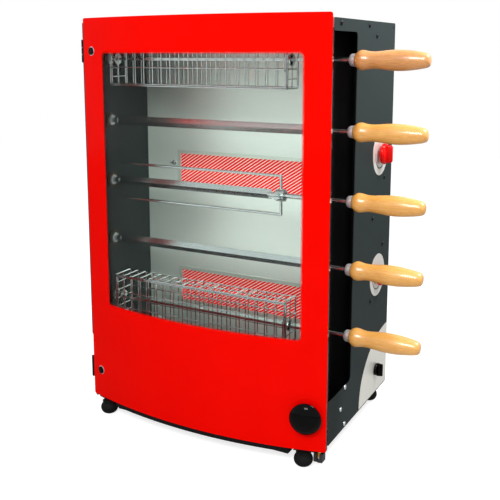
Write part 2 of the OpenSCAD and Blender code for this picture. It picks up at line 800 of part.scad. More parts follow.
// Capped screw and nut of each leaf
module door_screws() placed() color("#101010") for (z = hinge_z) on_door(screw_x, z) {
  rod_y(-enamel_t - 2, 2, 7, 0, 0);
  rod_y(-enamel_t - 3, 1, 5.5, 0, 0);
  rod_y(-enamel_t - 1, glass_t + leaf_t + enamel_t + 4, 2.5, 0, 0);
  rod_y(glass_t + leaf_t + 0.1, 2.4, 4.2, 0, 0);
}

// Round pull with its stem and washer
module door_knob() placed() color("#0c0c0c") on_door(knob_x, knob_z) {
  r = knob_d / 2;
  translate([0, -enamel_t, 0]) rotate([90, 0, 0]) rotate_extrude() polygon([[0, 0], [r * 0.5, 0],
    [r * 0.5, 3], [r * 0.9, 5], [r, 8], [r * 0.985, 11], [r * 0.9, 15], [r * 0.72, 18.4],
    [r * 0.45, 20.6], [0, 21.5]]);
  rod_y(-enamel_t - 1, glass_t + enamel_t + 3.5, 3.6, 0, 0);
  rod_y(glass_t + 0.1, 2.4, 9, 0, 0);
}

// ---------- door catch ----------
plunger_r = 3.5;
catch_x = right - 12;
catch_y = arc_y - sqrt(pow(glass_in + glass_t / 2, 2) - catch_x * catch_x);
catch_low = foot_rubber - 12.3;
plunger_z = bracket_low - 6.5;
pull_r = 1.5;
pull_z = catch_low - 2.8;
module catch_housing() placed() color("#111111") difference() {
  block([catch_x - 8, catch_y - 7, catch_low], [catch_x + 8, catch_y + 8, bracket_low]);
  translate([catch_x, catch_y, catch_low + 1.5]) cylinder(h = 30, r = 4.5 + run_fit);
  translate([catch_x, catch_y, catch_low - 1]) cylinder(h = 3, r = pull_r + run_fit);
  block([catch_x - 3, catch_y - 8, catch_low + 4], [catch_x + 3, catch_y, bracket_low + 1]);
}
// Brass plunger with a domed tip, and a pull on the stem that hangs below the housing
module catch_plunger() placed() color("#c49a45") translate([catch_x, catch_y, 0]) {
  translate([0, 0, pull_z]) cylinder(h = plunger_z - pull_z, r = pull_r);
  translate([0, 0, pull_z]) cylinder(h = 2.4, r = plunger_r);
  translate([0, 0, plunger_z]) cylinder(h = 5, r = 4.5);
  translate([0, 0, plunger_z]) cylinder(h = door_z - 1.3 - plunger_z, r = plunger_r);
  translate([0, 0, door_z - 1.3]) rotate_extrude()
    polygon([[0, 0], [plunger_r, 0], [plunger_r * 0.8, 0.6], [plunger_r * 0.4, 0.95], [0, 1]]);
}
module catch_spring() placed() color("#a9adb0") translate([catch_x, catch_y, catch_low + 1.5])
  difference() {
    cylinder(h = plunger_z - catch_low - 1.5, r = 4);
    translate([0, 0, -1]) cylinder(h = 30, r = 3);
  }

// ---------- drip drawer ----------
tray_t = 1;
lip_r = arc_r - 1;
tray_front = -18;
module drip_drawer() placed() color("#17191a") {
  z0 = tray_z - tray_depth;
  difference() {
    block([-tray_half, tray_front, z0], [tray_half, tray_back, tray_z]);
    block([-tray_half + tray_t, tray_front + tray_t, z0 + tray_t],
          [tray_half - tray_t, tray_back - tray_t, tray_z + 1]);
  }
  // Side flanges that hang in the rails
  for (s = [-1, 1]) block([s > 0 ? tray_half : -rail_x + 1, 8, tray_z - tray_t],
                          [s > 0 ? rail_x - 1 : -tray_half, tray_back, tray_z]);
  // Bowed lip under the door, and the apron behind it
  bowed(lip_r - 1.5, lip_r, -lip_half, lip_half, tray_z - 7.5, 7.5);
  difference() {
    bowed(lip_r - 40, lip_r - 1.5, -lip_half, lip_half, tray_z - tray_t, tray_t);
    block([-tray_half - 9, tray_front + tray_t, tray_z - 3], [tray_half + 9, 60, tray_z + 3]);
  }
}

module drawer_rails() placed() color("#8d9294") for (s = [0, 1]) mirror([s, 0, 0]) {
  y0 = 6;
  l = tray_back + 3 - y0;
  block([rail_x, y0, tray_z - tray_t - slip - sheet], [rail_x + sheet, y0 + l, z_low]);
  block([tray_half + 1.5, y0, tray_z - tray_t - slip - sheet],
        [rail_x, y0 + l, tray_z - tray_t - slip]);
  block([rail_x - flange, y0, z_low - sheet], [rail_x, y0 + l, z_low]);
}

// ---------- skewers ----------
// Folded blade, its ridge towards -Y
module blade_outline(w) {
  h = w / 2;
  d = w * 0.3;
  polygon([[d / 2, -h], [-d / 2 - blade_t / 2, 0], [d / 2, h], [d / 2 + blade_t * 0.4, h - blade_t],
           [-d / 2 + blade_t, 0], [d / 2 + blade_t * 0.4, -h + blade_t]]);
}

// Square driving end with a cut tip
module drive_end(z) {
  intersection() {
    block([tang_tip, skewer_y - tang / 2, z - tang / 2],
          [blade_left + 12, skewer_y + tang / 2, z + tang / 2]);
    xz(skewer_y - tang, 2 * tang)
      polygon([[tang_tip, z - tang * 0.25], [tang_tip + 5, z - tang / 2 - 1], [blade_left + 13,
        z - tang / 2 - 1], [blade_left + 13, z + tang / 2 + 1], [tang_tip + 5, z + tang / 2 + 1],
        [tang_tip, z + tang * 0.25]]);
  }
}

// Blade whose left end narrows to the driving end
module blade(z, x1) {
  intersection() {
    yz(blade_left, x1 - blade_left) translate([skewer_y, z]) blade_outline(blade_w);
    xz(skewer_y - blade_w, 2 * blade_w)
      polygon([[blade_left, z - tang / 2], [blade_left + 14, z - blade_w / 2 - 1],
      [x1 + 1, z - blade_w / 2 - 1], [x1 + 1, z + blade_w / 2 + 1],
      [blade_left + 14, z + blade_w / 2 + 1], [blade_left, z + tang / 2]]);
  }
}

// Round shaft with a domed ferrule outside the casing and its end in the wood
ferrule_r = 10.5;
module shaft(z, x0) {
  rod_x(x0, handle_x + rod_in_wood - x0, rod_r, skewer_y, z);
  translate([ferrule_x, skewer_y, z]) rotate([0, 90, 0]) rotate_extrude()
    polygon([[rod_r + 0.1, 0], [7, 0], [9, 1.2], [10.2, 3.2], [ferrule_r, 5.5],
             [ferrule_r, ferrule_l], [rod_r + 0.1, ferrule_l]]);
}

module blade_skewer(k, x1) placed() color("#b4b8ba") {
  drive_end(axis_z(k));
  blade(axis_z(k), x1);
  shaft(axis_z(k), x1 - 6);
}

// Flat bar with a row of notches at the right end, which carries a basket
bar_size = [5, 14];
notch_step = 6;
module bar_skewer(k, turn) placed() color("#b4b8ba") {
  z = axis_z(k);
  drive_end(z);
  difference() {
    translate([0, skewer_y, z]) rotate([turn, 0, 0])
      block([blade_left, -bar_size[0] / 2, -bar_size[1] / 2],
            [blade_right, bar_size[0] / 2, bar_size[1] / 2]);
    for (x = [basket_x[1] + 6:notch_step:blade_right - 6], s = [-1, 1])
      translate([x, skewer_y, z]) rotate([turn, 0, 0])
        block([-1, -bar_size[0], s * (bar_size[1] / 2 - 0.7) - 0.8],
              [1, bar_size[0], s * (bar_size[1] / 2 - 0.7) + 0.8]);
  }
  shaft(z, blade_right - 6);
}

module skewer_1() bar_skewer(1, 90);
module skewer_2() blade_skewer(2, blade_right);
module skewer_3() blade_skewer(3, fork_x - 20);
module skewer_4() blade_skewer(4, blade_right);
module skewer_5() bar_skewer(5, 90);

// Turned beech handle: collar, waist, belly and rounded butt, as shares of length and radius
handle_profile = [[0, 0.62], [0.012, 0.68], [0.03, 0.80], [0.055, 0.92], [0.085, 0.975],
  [0.115, 0.965], [0.15, 0.905], [0.19, 0.845], [0.24, 0.815], [0.30, 0.83], [0.37, 0.885],
  [0.45, 0.95], [0.54, 0.995], [0.62, 1], [0.70, 0.965], [0.78, 0.9], [0.86, 0.815],
  [0.93, 0.725], [0.965, 0.65], [0.985, 0.55], [0.996, 0.38], [1, 0]];
module handle(k) placed() color("#d9a867") {
  r = handle_r;
  l = handle_l;
  difference() {
    translate([handle_x, skewer_y, axis_z(k)]) rotate([0, 90, 0]) rotate_extrude()
      polygon(concat([[0, 0]], [for (p = handle_profile) [r * p[1], l * p[0]]]));
    rod_x(handle_x - 1, rod_in_wood + 2, rod_r + 0.02, skewer_y, axis_z(k));
  }
}
module handle_1() handle(1);
module handle_2() handle(2);
module handle_3() handle(3);
module handle_4() handle(4);
module handle_5() handle(5);

// Grid of bars in a plane: outer size, bar spacing and the number of lengthwise bars
module grid(l, w, rows) {
  n = floor((l - wire) / wire_pitch);
  cell = (l - wire) / n - wire;
  row = (w - wire) / rows - wire;
  difference() {
    square([l, w]);
    for (i = [0:n - 1], j = [0:rows - 1])
      translate([wire + i * (cell + wire), wire + j * (row + wire)]) square([cell, row]);
  }
}

// Turns the basket's own frame about the skewer: flat for 0, upright for 90
module on_skewer(k, turn) {
  translate([0, skewer_y, axis_z(k)]) rotate([turn, 0, 0]) children();
}

lid_half = basket_size[0] / 2 - wire;
lid_low = basket_size[1] / 2 - wire - hair;
module basket(k, turn) placed() color("#aeb2b4") on_skewer(k, turn) {
  x0 = basket_x[0];
  l = basket_x[1] - x0;
  w = basket_size[0];
  h = basket_size[1];
  // Floor
  translate([x0, -w / 2, -h / 2]) linear_extrude(wire) grid(l, w, 3);
  // Long sides with the two bars that guide the lid
  for (s = [0, 1]) mirror([0, s, 0]) {
    xz(w / 2 - wire, wire) translate([x0, -h / 2]) grid(l, h + wire, 2);
    block([x0, lid_half - 2 * wire, lid_low - hair - wire], [x0 + l, lid_half, lid_low - hair]);
    block([x0, lid_half - 2 * wire, lid_low + wire + hair], [x0 + l, lid_half, lid_low + 2 * wire]);
  }
  // Ends with the boss that is clamped on the bar
  for (x = [x0, x0 + l - wire]) difference() {
    union() {
      yz(x, wire) translate([-w / 2, -h / 2]) end_grid(w, h - 3 * wire);
      rod_x(x, wire, 11, 0, 0);
    }
    block([x - 1, -bar_size[0] / 2 - 0.05, -bar_size[1] / 2 - 0.05],
          [x + wire + 1, bar_size[0] / 2 + 0.05, bar_size[1] / 2 + 0.05]);
  }
}

module end_grid(w, h) {
  difference() {
    square([w, h]);
    for (i = [0:5], j = [0, 1]) {
      cell = (w - wire) / 6 - wire;
      row = (h - wire) / 2 - wire;
      translate([wire + i * (cell + wire), wire + j * (row + wire)]) square([cell, row]);
    }
  }
}

module basket_lid(k, turn) placed() color("#aeb2b4") on_skewer(k, turn) {
  l = basket_x[1] - basket_x[0] - 2;
  translate([basket_x[0] + 1, -lid_half + hair, lid_low]) linear_extrude(wire)
    grid(l, 2 * (lid_half - hair), 3);
  // Turned-up finger edge
  block([basket_x[0] + 1 + l - wire, -20, lid_low + wire], [basket_x[0] + 1 + l, 20, lid_low + 8]);
}

module basket_1() basket(1, 90);
module basket_5() basket(5, 90);
module basket_lid_1() basket_lid(1, 90);
module basket_lid_5() basket_lid(5, 90);

// Two-tine fork with a split clamp
fork_wire = 2.5;
clamp_r = 11;
clamp_l = 16;
module fork_3() placed() color("#b4b8ba") {
  z = axis_z(3);
  difference() {
    union() {
      rod_x(fork_x - clamp_l / 2, clamp_l, clamp_r, skewer_y, z);
      translate([fork_x, skewer_y, z - fork_half]) cylinder(h = 2 * fork_half, r = fork_wire);
      for (s = [-1, 1]) {
        translate([fork_x, skewer_y, z + s * fork_half]) sphere(fork_wire);
        rod_x(fork_x - fork_l + 12, fork_l - 12, fork_wire, skewer_y, z + s * fork_half);
        translate([fork_x - fork_l + 12, skewer_y, z + s * fork_half]) rotate([0, -90, 0])
          cylinder(h = 12, r1 = fork_wire, r2 = 0.4);
      }
      rod_y(skewer_y - clamp_r - 5, 10, 5, fork_x, z);
    }
    rod_x(fork_x - clamp_l, 2 * clamp_l, rod_r + run_fit, skewer_y, z);
    rod_y(skewer_y - clamp_r - 6, clamp_r + 2, 2.5 + run_fit, fork_x, z);
  }
}

module fork_screw_3() placed() color("#c0c4c6") {
  z = axis_z(3);
  y0 = skewer_y - clamp_r - 5 - hair;
  rod_y(y0 - 1, skewer_y - rod_r - 0.2 - y0 + 1, 2.5, fork_x, z);
  rod_y(y0 - 6, 6, 5, fork_x, z);
  difference() {
    block([fork_x - 11, y0 - 12, z - 1.5], [fork_x + 11, y0 - 4, z + 1.5]);
    rod_y(y0 - 6, 8, 4.9, fork_x, z);
  }
}

// ---------- knobs ----------
// Round knob with a raised wing, and its spindle in the valve
module gas_knob(z) placed() color("#cc1b12") {
  r = gas_knob_d / 2;
  x0 = right + 0.8 + 4;
  rod_x(valve_x + 10, x0 - valve_x - 9, 4, valve_y, z);
  translate([x0, valve_y, z]) rotate([0, 90, 0]) rotate_extrude()
    polygon([[0, 0], [r - 1, 0], [r, 1.5], [r, 6], [r - 1.5, 8.5], [r - 6, 10], [0, 10]]);
  block([x0 + 9, valve_y - 5, z - r + 2], [x0 + 20, valve_y + 5, z + r - 2]);
}
module gas_knob_lower() gas_knob(valve_z[0]);
module gas_knob_upper() gas_knob(valve_z[1]);

module selector_knob() placed() color("#141414") {
  y = selector_pos[0];
  z = selector_pos[1];
  x0 = right + 0.8 + 0.6;
  rod_x(inner - 12, x0 - inner + 13, 3, y, z);
  rod_x(x0, 5, 12, y, z);
  block([x0 + 4, y - 3, z - 13.5], [x0 + 15, y + 3, z + 13.5]);
}

// ---------- screws ----------
module casing_screws() placed() color("#9da1a4") {
  for (s = panel_screws) translate([right, s[0], s[1]]) rotate([0, 90, 0]) pan_screw();
  for (z = strap_z) translate([right, manifold_y, z]) rotate([0, 90, 0]) pan_screw();
  for (i = [0:5]) translate([-right, panel_screws[i][0], panel_screws[i][1]])
    rotate([0, -90, 0]) pan_screw();
  for (z = cover_tabs) translate([-right - sheet, cover_back + flange / 2, z])
    rotate([0, -90, 0]) pan_screw();
  for (s = rear_screws) translate([s[0], body_d, s[1]]) rotate([-90, 0, 0]) pan_screw();
}

side_panel_right();
side_panel_left();
roof_panel();
rear_cover();
base_panel();
chamber_back_wall();
skewer_support_wall();
foot_brackets();
feet();
foot_bolts();
burners();
burner_tiles();
gas_manifold();
gas_valve_lower();
gas_valve_upper();
gas_feeds();
scale_discs();
control_plate();
selector_switch();
gearmotor();
gear_bushes();
drive_cover();
hinge_brackets();
catch_housing();
mains_inlet();
casing_screws();
drawer_rails();
door_glass();
door_enamel();
door_hinge_leaves();
door_screws();
door_knob();
catch_plunger();
catch_spring();
drip_drawer();
motor_pinion();
gear_1();
gear_2();
gear_3();
gear_4();
gear_5();
skewer_1();
skewer_2();
skewer_3();
skewer_4();
skewer_5();
handle_1();
handle_2();
handle_3();
handle_4();
handle_5();
basket_1();
basket_5();
basket_lid_1();
basket_lid_5();
fork_3();
fork_screw_3();
gas_knob_lower();
gas_knob_upper();
selector_knob();
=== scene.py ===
import math

import bpy
from mathutils import Matrix, Vector


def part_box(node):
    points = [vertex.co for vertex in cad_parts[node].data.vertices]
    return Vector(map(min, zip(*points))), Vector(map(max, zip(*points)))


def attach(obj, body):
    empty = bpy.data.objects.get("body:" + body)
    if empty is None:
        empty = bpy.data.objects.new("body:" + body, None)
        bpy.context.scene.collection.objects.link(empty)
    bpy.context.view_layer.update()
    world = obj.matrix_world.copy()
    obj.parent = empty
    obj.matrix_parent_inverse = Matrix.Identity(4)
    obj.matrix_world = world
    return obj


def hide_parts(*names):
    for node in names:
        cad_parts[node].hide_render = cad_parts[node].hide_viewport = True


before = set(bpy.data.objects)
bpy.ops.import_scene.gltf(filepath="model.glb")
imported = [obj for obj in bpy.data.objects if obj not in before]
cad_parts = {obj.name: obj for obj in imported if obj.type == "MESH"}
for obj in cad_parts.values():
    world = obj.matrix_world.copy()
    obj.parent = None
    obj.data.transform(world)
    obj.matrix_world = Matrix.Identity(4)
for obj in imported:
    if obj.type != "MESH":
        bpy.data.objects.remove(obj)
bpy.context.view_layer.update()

# ---------- The camera ----------
# The photograph looks down a little on the front and the right side of the grill. Places are
# millimetres from the middle of the casing's front edge, on the floor.
MM = 0.001
EYE = (717.9, -1153.4, 710.2)
VIEW_AZIMUTH = 28.18
VIEW_PITCH = 9.05
LENS_MM = 55.31
SHIFT_DOWN = -0.15

panel_low, panel_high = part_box("side_panel_right")
left_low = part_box("side_panel_left")[0]
corner = Vector(((panel_high.x + left_low.x) / 2, panel_low.y, 0))


def at(x, y, z):
    """A point in metres, from millimetres in the casing's own directions"""
    return corner + Vector((x, y, z)) * MM


view = bpy.data.cameras.new("photo_view")
view.lens = LENS_MM
view.shift_y = SHIFT_DOWN
view.clip_start = 0.05
view.clip_end = 20
camera = bpy.data.objects.new("photo_view", view)
camera.location = at(*EYE)
camera.rotation_euler = (math.radians(90 - VIEW_PITCH), 0, math.radians(VIEW_AZIMUTH))
bpy.context.scene.collection.objects.link(camera)
bpy.context.scene.camera = camera
bpy.context.scene.view_settings.view_transform = "Standard"


# ---------- The studio ----------
# A white floor under a white surround. A soft lamp stands in front on the right, and a smaller one
# high on the right lights the top of the right side. The floor glows a little for the camera and
# through glass, so that it looks as white as the surround, and still takes the object's shadow.
FLOOR_HALF = 4.0
FLOOR_LEVEL = -0.0002
FLOOR_PAPER = "#b9b9b7"
FLOOR_GLOW = 0.78
SURROUND_LIGHT = 0.55


def colour(code):
    """The linear colour of an sRGB hex value"""
    parts = [int(code[i:i + 2], 16) / 255 for i in (1, 3, 5)]
    return [p / 12.92 if p <= 0.04045 else ((p + 0.055) / 1.055) ** 2.4 for p in parts] + [1]


def node(tree, kind, settings=(), inputs=()):
    """Adds a shader node, sets its properties, and fills or links its inputs"""
    made = tree.nodes.new("ShaderNode" + kind)
    for name, value in dict(settings).items():
        setattr(made, name, value)
    for key, value in dict(inputs).items():
        if isinstance(value, bpy.types.NodeSocket):
            tree.links.new(value, made.inputs[key])
        else:
            made.inputs[key].default_value = value
    return made


def seen_rays(tree, *others):
    """1 for a ray that comes from the camera or is of one of the other kinds, else 0"""
    path = node(tree, "LightPath")
    seen = path.outputs["Is Camera Ray"]
    for kind in others:
        seen = node(tree, "Math", {"operation": "MAXIMUM"},
                    {0: seen, 1: path.outputs[kind]}).outputs[0]
    return seen


world = bpy.data.worlds.new("white_surround")
bpy.context.scene.world = world
world.use_nodes = True
tree = world.node_tree
seen = seen_rays(tree, "Is Glossy Ray", "Is Transmission Ray")
strength = node(tree, "MapRange", (), {0: seen, 3: SURROUND_LIGHT, 4: 1.0})
tree.nodes["Background"].inputs["Color"].default_value = (1, 1, 1, 1)
tree.links.new(strength.outputs[0], tree.nodes["Background"].inputs["Strength"])

bpy.ops.mesh.primitive_plane_add(size=2 * FLOOR_HALF, location=(0, 0, FLOOR_LEVEL))
floor = bpy.context.object
floor.name = "studio_floor"
paper = bpy.data.materials.new("white_paper")
paper.use_nodes = True
tree = paper.node_tree
shader = tree.nodes["Principled BSDF"]
shader.inputs["Base Color"].default_value = colour(FLOOR_PAPER)
shader.inputs["Roughness"].default_value = 0.9
shader.inputs["Specular IOR Level"].default_value = 0.0
seen = seen_rays(tree, "Is Transmission Ray")
glow = node(tree, "MapRange", (), {0: seen, 3: 0.0, 4: FLOOR_GLOW})
tree.links.new(glow.outputs[0], shader.inputs["Emission Strength"])
shader.inputs["Emission Color"].default_value = (1, 1, 1, 1)
floor.data.materials.append(paper)


def lamp(name, place, aim, size, watts):
    """A square soft lamp that points at a spot"""
    light = bpy.data.lights.new(name, "AREA")
    light.size = size
    light.energy = watts
    lamp_object = bpy.data.objects.new(name, light)
    lamp_object.location = place
    direction = aim - place
    lamp_object.rotation_euler = direction.to_track_quat("-Z", "Y").to_euler()
    bpy.context.scene.collection.objects.link(lamp_object)


lamp("front_lamp", place=at(500, -1500, 1500), aim=at(0, 0, 380), size=0.6, watts=28)
lamp("side_lamp", place=at(800, 330, 1300), aim=at(250, 150, 720), size=0.4, watts=18)


# ---------- Sheet metal casing ----------
# Folded steel sheet with a charcoal powder coat: matt, faintly pebbled like fine orange peel, with
# a little variation in gloss from handling. Its gloss is low, or the white surround turns it grey.
PEBBLE_MM = 0.9
CHARCOAL = "#2a3131"
BLACK_COAT = "#0c0d0e"


def surface(name, code, roughness, metallic=0.0, **sockets):
    """A new Principled material; sockets name further inputs with underscores for spaces"""
    made = bpy.data.materials.new(name)
    made.use_nodes = True
    shader = made.node_tree.nodes["Principled BSDF"]
    shader.inputs["Base Color"].default_value = colour(code)
    shader.inputs["Roughness"].default_value = roughness
    shader.inputs["Metallic"].default_value = metallic
    for key, value in sockets.items():
        shader.inputs[key.replace("_", " ")].default_value = value
    return made


def grain(material, size_mm, height_mm, codes, roughness, stretch=(1, 1, 1), detail=3):
    """Mottles a material with noise whose grains have a real size: its two colours, its roughness
    range and a bump of a real height. stretch draws the grains out along an axis."""
    tree = material.node_tree
    shader = tree.nodes["Principled BSDF"]
    place = node(tree, "TexCoord")
    fit = node(tree, "Mapping", (), {"Vector": place.outputs["Object"],
                                     "Scale": [1 / (s * size_mm * MM) for s in stretch]})
    noise = node(tree, "TexNoise", (), {"Vector": fit.outputs[0], "Scale": 1.0, "Detail": detail})
    tint = node(tree, "Mix", {"data_type": "RGBA"},
                {0: noise.outputs["Fac"], 6: colour(codes[0]), 7: colour(codes[1])})
    tree.links.new(tint.outputs[2], shader.inputs["Base Color"])
    gloss = node(tree, "MapRange", (), {0: noise.outputs["Fac"], 3: roughness[0],
                                        4: roughness[1]})
    tree.links.new(gloss.outputs[0], shader.inputs["Roughness"])
    bump = node(tree, "Bump", (), {"Height": noise.outputs["Fac"], "Strength": 1.0,
                                   "Distance": height_mm * MM})
    tree.links.new(bump.outputs[0], shader.inputs["Normal"])
    return material


def finish(material, *names):
    """Gives CAD nodes a material"""
    for name in names:
        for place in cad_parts[name].material_slots:
            place.material = material


powder_coat = surface("charcoal_powder_coat", CHARCOAL, 0.42, Specular_IOR_Level=0.01)
grain(powder_coat, PEBBLE_MM, 0.02, ("#282f2f", "#2c3333"), (0.36, 0.48))
black_coat = surface("black_powder_coat", BLACK_COAT, 0.5, Specular_IOR_Level=0.1)
grain(black_coat, PEBBLE_MM, 0.02, ("#0a0b0c", "#101112"), (0.42, 0.58))
finish(powder_coat, "side_panel_right", "side_panel_left", "rear_cover", "drive_cover")
finish(black_coat, "base_panel", "foot_brackets", "skewer_support_wall", "hinge_brackets",
       "door_hinge_leaves", "drip_drawer")


# ---------- Roof and chamber back wall ----------
# Bare sheet: a zinc-coated roof with a pale, cloudy bloom, a back wall of stainless steel with
# fine brushing across it and a faint green cast, and burner frames of smooth annealed steel.
BRUSH_MM = 0.35
SPANGLE_MM = 14

zinc_sheet = surface("zinc_coated_sheet", "#d3d6d4", 0.5, 0.6)
grain(zinc_sheet, SPANGLE_MM, 0.004, ("#cdd1cf", "#dde0de"), (0.42, 0.55), detail=1)
brushed_steel = surface("brushed_stainless_sheet", "#e6eae5", 0.4, 0.7)
grain(brushed_steel, BRUSH_MM, 0.004, ("#dfe4de", "#edf1ec"), (0.34, 0.48), (60, 1, 1))
finish(zinc_sheet, "roof_panel", "drawer_rails")
finish(brushed_steel, "chamber_back_wall")
frame_steel = surface("bright_annealed_steel", "#d6dbd3", 0.36, 0.7)
grain(frame_steel, 4.0, 0.003, ("#ccd1c9", "#e0e5dd"), (0.3, 0.42), (12, 1, 1))
finish(frame_steel, "burners")


# ---------- Rubber feet ----------
# Black moulded rubber buffers, matt with a faint mould texture, on blackened bolts that hold them
# under the foot brackets.
rubber = surface("moulded_rubber", "#0d0d0d", 0.75, Specular_IOR_Level=0.12)
grain(rubber, 0.6, 0.03, ("#0b0b0b", "#131313"), (0.65, 0.85))
finish(rubber, "feet")
finish(black_coat, "foot_bolts")


# ---------- Burners ----------
# Ceramic tiles with their red glow painted into their colour, as they give no light, behind a
# guard of slanting wires: a front layer painted lit, almost white, and one that crosses behind it
# painted in shade, darker and tinted with the tiles' red light. Both layers are the same wire. The
# real mesh is finer, and is drawn as coarse as it needs to show.
GUARD_CELL = (9.8, 6.4)
GUARD_DEPTHS = (2.2, 1.1)
GUARD_WIRES = (1.0, 0.7)
TILE_HALF = 33.5
BURNER_MIDDLE = 41

# Painted glow: the tiles' bright red base colour stands in for the light of lit burners
ceramic = surface("ceramic_tile_painted_glow", "#f60806", 0.55, Specular_IOR_Level=0.04)
grain(ceramic, 1.4, 0.1, ("#ee0504", "#fc0c0a"), (0.45, 0.65))
finish(ceramic, "burner_tiles")
# Lit and shaded copies of one wire: the front layer painted lit, near white; the back layer painted
# in shade, darker and reddened by the tiles' painted glow
wire_painted_lit = surface("guard_wire_painted_lit", "#fdf8f7", 0.4, 0.1)
grain(wire_painted_lit, 1.5, 0.003, ("#faf3f2", "#fffdfc"), (0.35, 0.45))
wire_painted_shade = surface("guard_wire_painted_shade", "#c23a30", 0.45, 0.3)
grain(wire_painted_shade, 1.5, 0.003, ("#ba3228", "#ca443a"), (0.4, 0.5))


def deselect():
    """Leaves nothing selected, before a new piece is made"""
    bpy.ops.object.select_all(action="DESELECT")


def settle(name):
    """Names the piece just made and moves its place into its mesh"""
    bpy.ops.object.transform_apply(location=True, rotation=True, scale=True)
    piece = bpy.context.object
    piece.name = name
    piece.data.name = name
    return piece


def cut(piece, place, normal):
    """Cuts the piece with a plane, keeps what lies behind it and closes the cut"""
    bpy.context.view_layer.objects.active = piece
    bpy.ops.object.mode_set(mode="EDIT")
    bpy.ops.mesh.select_all(action="SELECT")
    bpy.ops.mesh.bisect(plane_co=place, plane_no=normal, clear_outer=True, use_fill=True)
    bpy.ops.object.mode_set(mode="OBJECT")


def apply_modifier(piece, kind, **settings):
    """Adds a modifier with its settings and applies it"""
    bpy.context.view_layer.objects.active = piece
    made = piece.modifiers.new(kind.lower(), kind)
    for key, value in settings.items():
        setattr(made, key, value)
    bpy.ops.object.modifier_apply(modifier=made.name)


def join(name, parts):
    """Joins several objects into one piece"""
    deselect()
    for part in parts:
        part.select_set(True)
    bpy.context.view_layer.objects.active = parts[0]
    bpy.ops.object.join()
    parts[0].name = name
    parts[0].data.name = name
    return parts[0]


def turn_out():
    """Makes all faces of the active piece point outwards"""
    bpy.ops.object.mode_set(mode="EDIT")
    bpy.ops.mesh.select_all(action="SELECT")
    bpy.ops.mesh.normals_make_consistent(inside=False)
    bpy.ops.object.mode_set(mode="OBJECT")


def belongs(piece, body, material, slot, *nodes):
    """Gives a piece its material and its body, and hides the CAD nodes that it stands for; slot is
    not used
    """
    piece.data.materials.clear()
    piece.data.materials.append(material)
    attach(piece, body)
    if nodes:
        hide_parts(*nodes)


tiles_low, tiles_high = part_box("burner_tiles")
burner_low, burner_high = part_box("burners")


def guard_wires(name, low, high, lean, y, thick):
    """One layer of parallel slanting wires, cut to the burner's opening"""
    pitch = GUARD_CELL[0] * MM
    slope = lean * math.atan2(GUARD_CELL[1], GUARD_CELL[0])
    reach = (high.z - low.z) / math.sin(abs(slope)) + 0.01
    shift = (high.z - low.z) / math.tan(abs(slope)) / 2
    deselect()
    bpy.ops.mesh.primitive_cube_add(
        size=1, location=(low.x - shift, y, (low.z + high.z) / 2),
        rotation=(0, -slope, 0), scale=(reach, thick * MM, thick * MM))
    wires = settle(name)
    apply_modifier(wires, "ARRAY", count=int((high.x - low.x + 2 * shift) / pitch) + 1,
                   use_relative_offset=False, use_constant_offset=True,
                   constant_offset_displace=(pitch, 0, 0))
    cut(wires, low, (-1, 0, 0))
    cut(wires, high, (1, 0, 0))
    cut(wires, low, (0, 0, -1))
    cut(wires, high, (0, 0, 1))
    return wires


middles = (burner_low.z + BURNER_MIDDLE * MM, burner_high.z - BURNER_MIDDLE * MM)
for name, lean, depth, thick, metal in (
        ("burner_guard_front", 1, GUARD_DEPTHS[0], GUARD_WIRES[0], wire_painted_lit),
        ("burner_guard_back", -1, GUARD_DEPTHS[1], GUARD_WIRES[1], wire_painted_shade)):
    guards = []
    for middle in middles:
        low = Vector((tiles_low.x, tiles_low.y, middle - TILE_HALF * MM))
        high = Vector((tiles_high.x, tiles_low.y, middle + TILE_HALF * MM))
        guards.append(guard_wires(name, low, high, lean, tiles_low.y - depth * MM, thick))
    belongs(join(name, guards), "casing", metal, "burners")

# A wing screw at each end of the upper burner: a domed head with one thin flat blade across it.
# BLADE holds half the blade's width, its depth and half its thickness.
SCREW_OUT = (9, 17)
SCREW_DROP = 28
SCREW_RINGS = [(0, 5), (1, 5), (1.2, 3.2), (5, 3), (6, 0)]
BLADE = (9, 7, 1.1)
BLADE_BACK = 1.5

plated_steel = surface("zinc_plated_steel", "#c9cccf", 0.25, 1.0)
grain(plated_steel, 2.0, 0.003, ("#c2c5c8", "#d2d5d8"), (0.2, 0.34))


def turned(name, place, axis, rings, sides=48):
    """A lathe-turned form: a circle extruded along an axis and resized, ring by ring. Rings are
    (distance along the axis, radius) in millimetres; the last radius may be 0, a closed point."""
    axis = Vector(axis).normalized()
    (along, radius), *others = rings
    deselect()
    bpy.ops.mesh.primitive_circle_add(
        vertices=sides, radius=radius * MM, fill_type="NGON", location=place + axis * along * MM,
        rotation=Vector((0, 0, 1)).rotation_difference(axis).to_euler())
    piece = settle(name)
    bpy.ops.object.mode_set(mode="EDIT")
    bpy.ops.mesh.select_all(action="SELECT")
    for step, width in others:
        bpy.ops.mesh.extrude_region_move(
            TRANSFORM_OT_translate={"value": axis * (step - along) * MM})
        if width == 0:
            bpy.ops.mesh.merge(type="CENTER")
        elif width != radius:
            ratio = width / radius
            bpy.ops.transform.resize(value=(ratio, ratio, ratio))
        along, radius = step, width
    bpy.ops.object.mode_set(mode="OBJECT")
    turn_out()
    return piece


def rounded_block(name, low, high, radius, segments=3):
    """A block between two corners whose edges are all rounded"""
    deselect()
    size = high - low
    bpy.ops.mesh.primitive_cube_add(size=1, location=(low + high) / 2, scale=size)
    piece = settle(name)
    apply_modifier(piece, "BEVEL", width=radius * MM, segments=segments, limit_method="NONE")
    return piece


def smooth(piece, degrees=35):
    """Shades the piece smooth, with its sharper edges kept"""
    deselect()
    piece.select_set(True)
    bpy.context.view_layer.objects.active = piece
    bpy.ops.object.shade_smooth_by_angle(angle=math.radians(degrees))


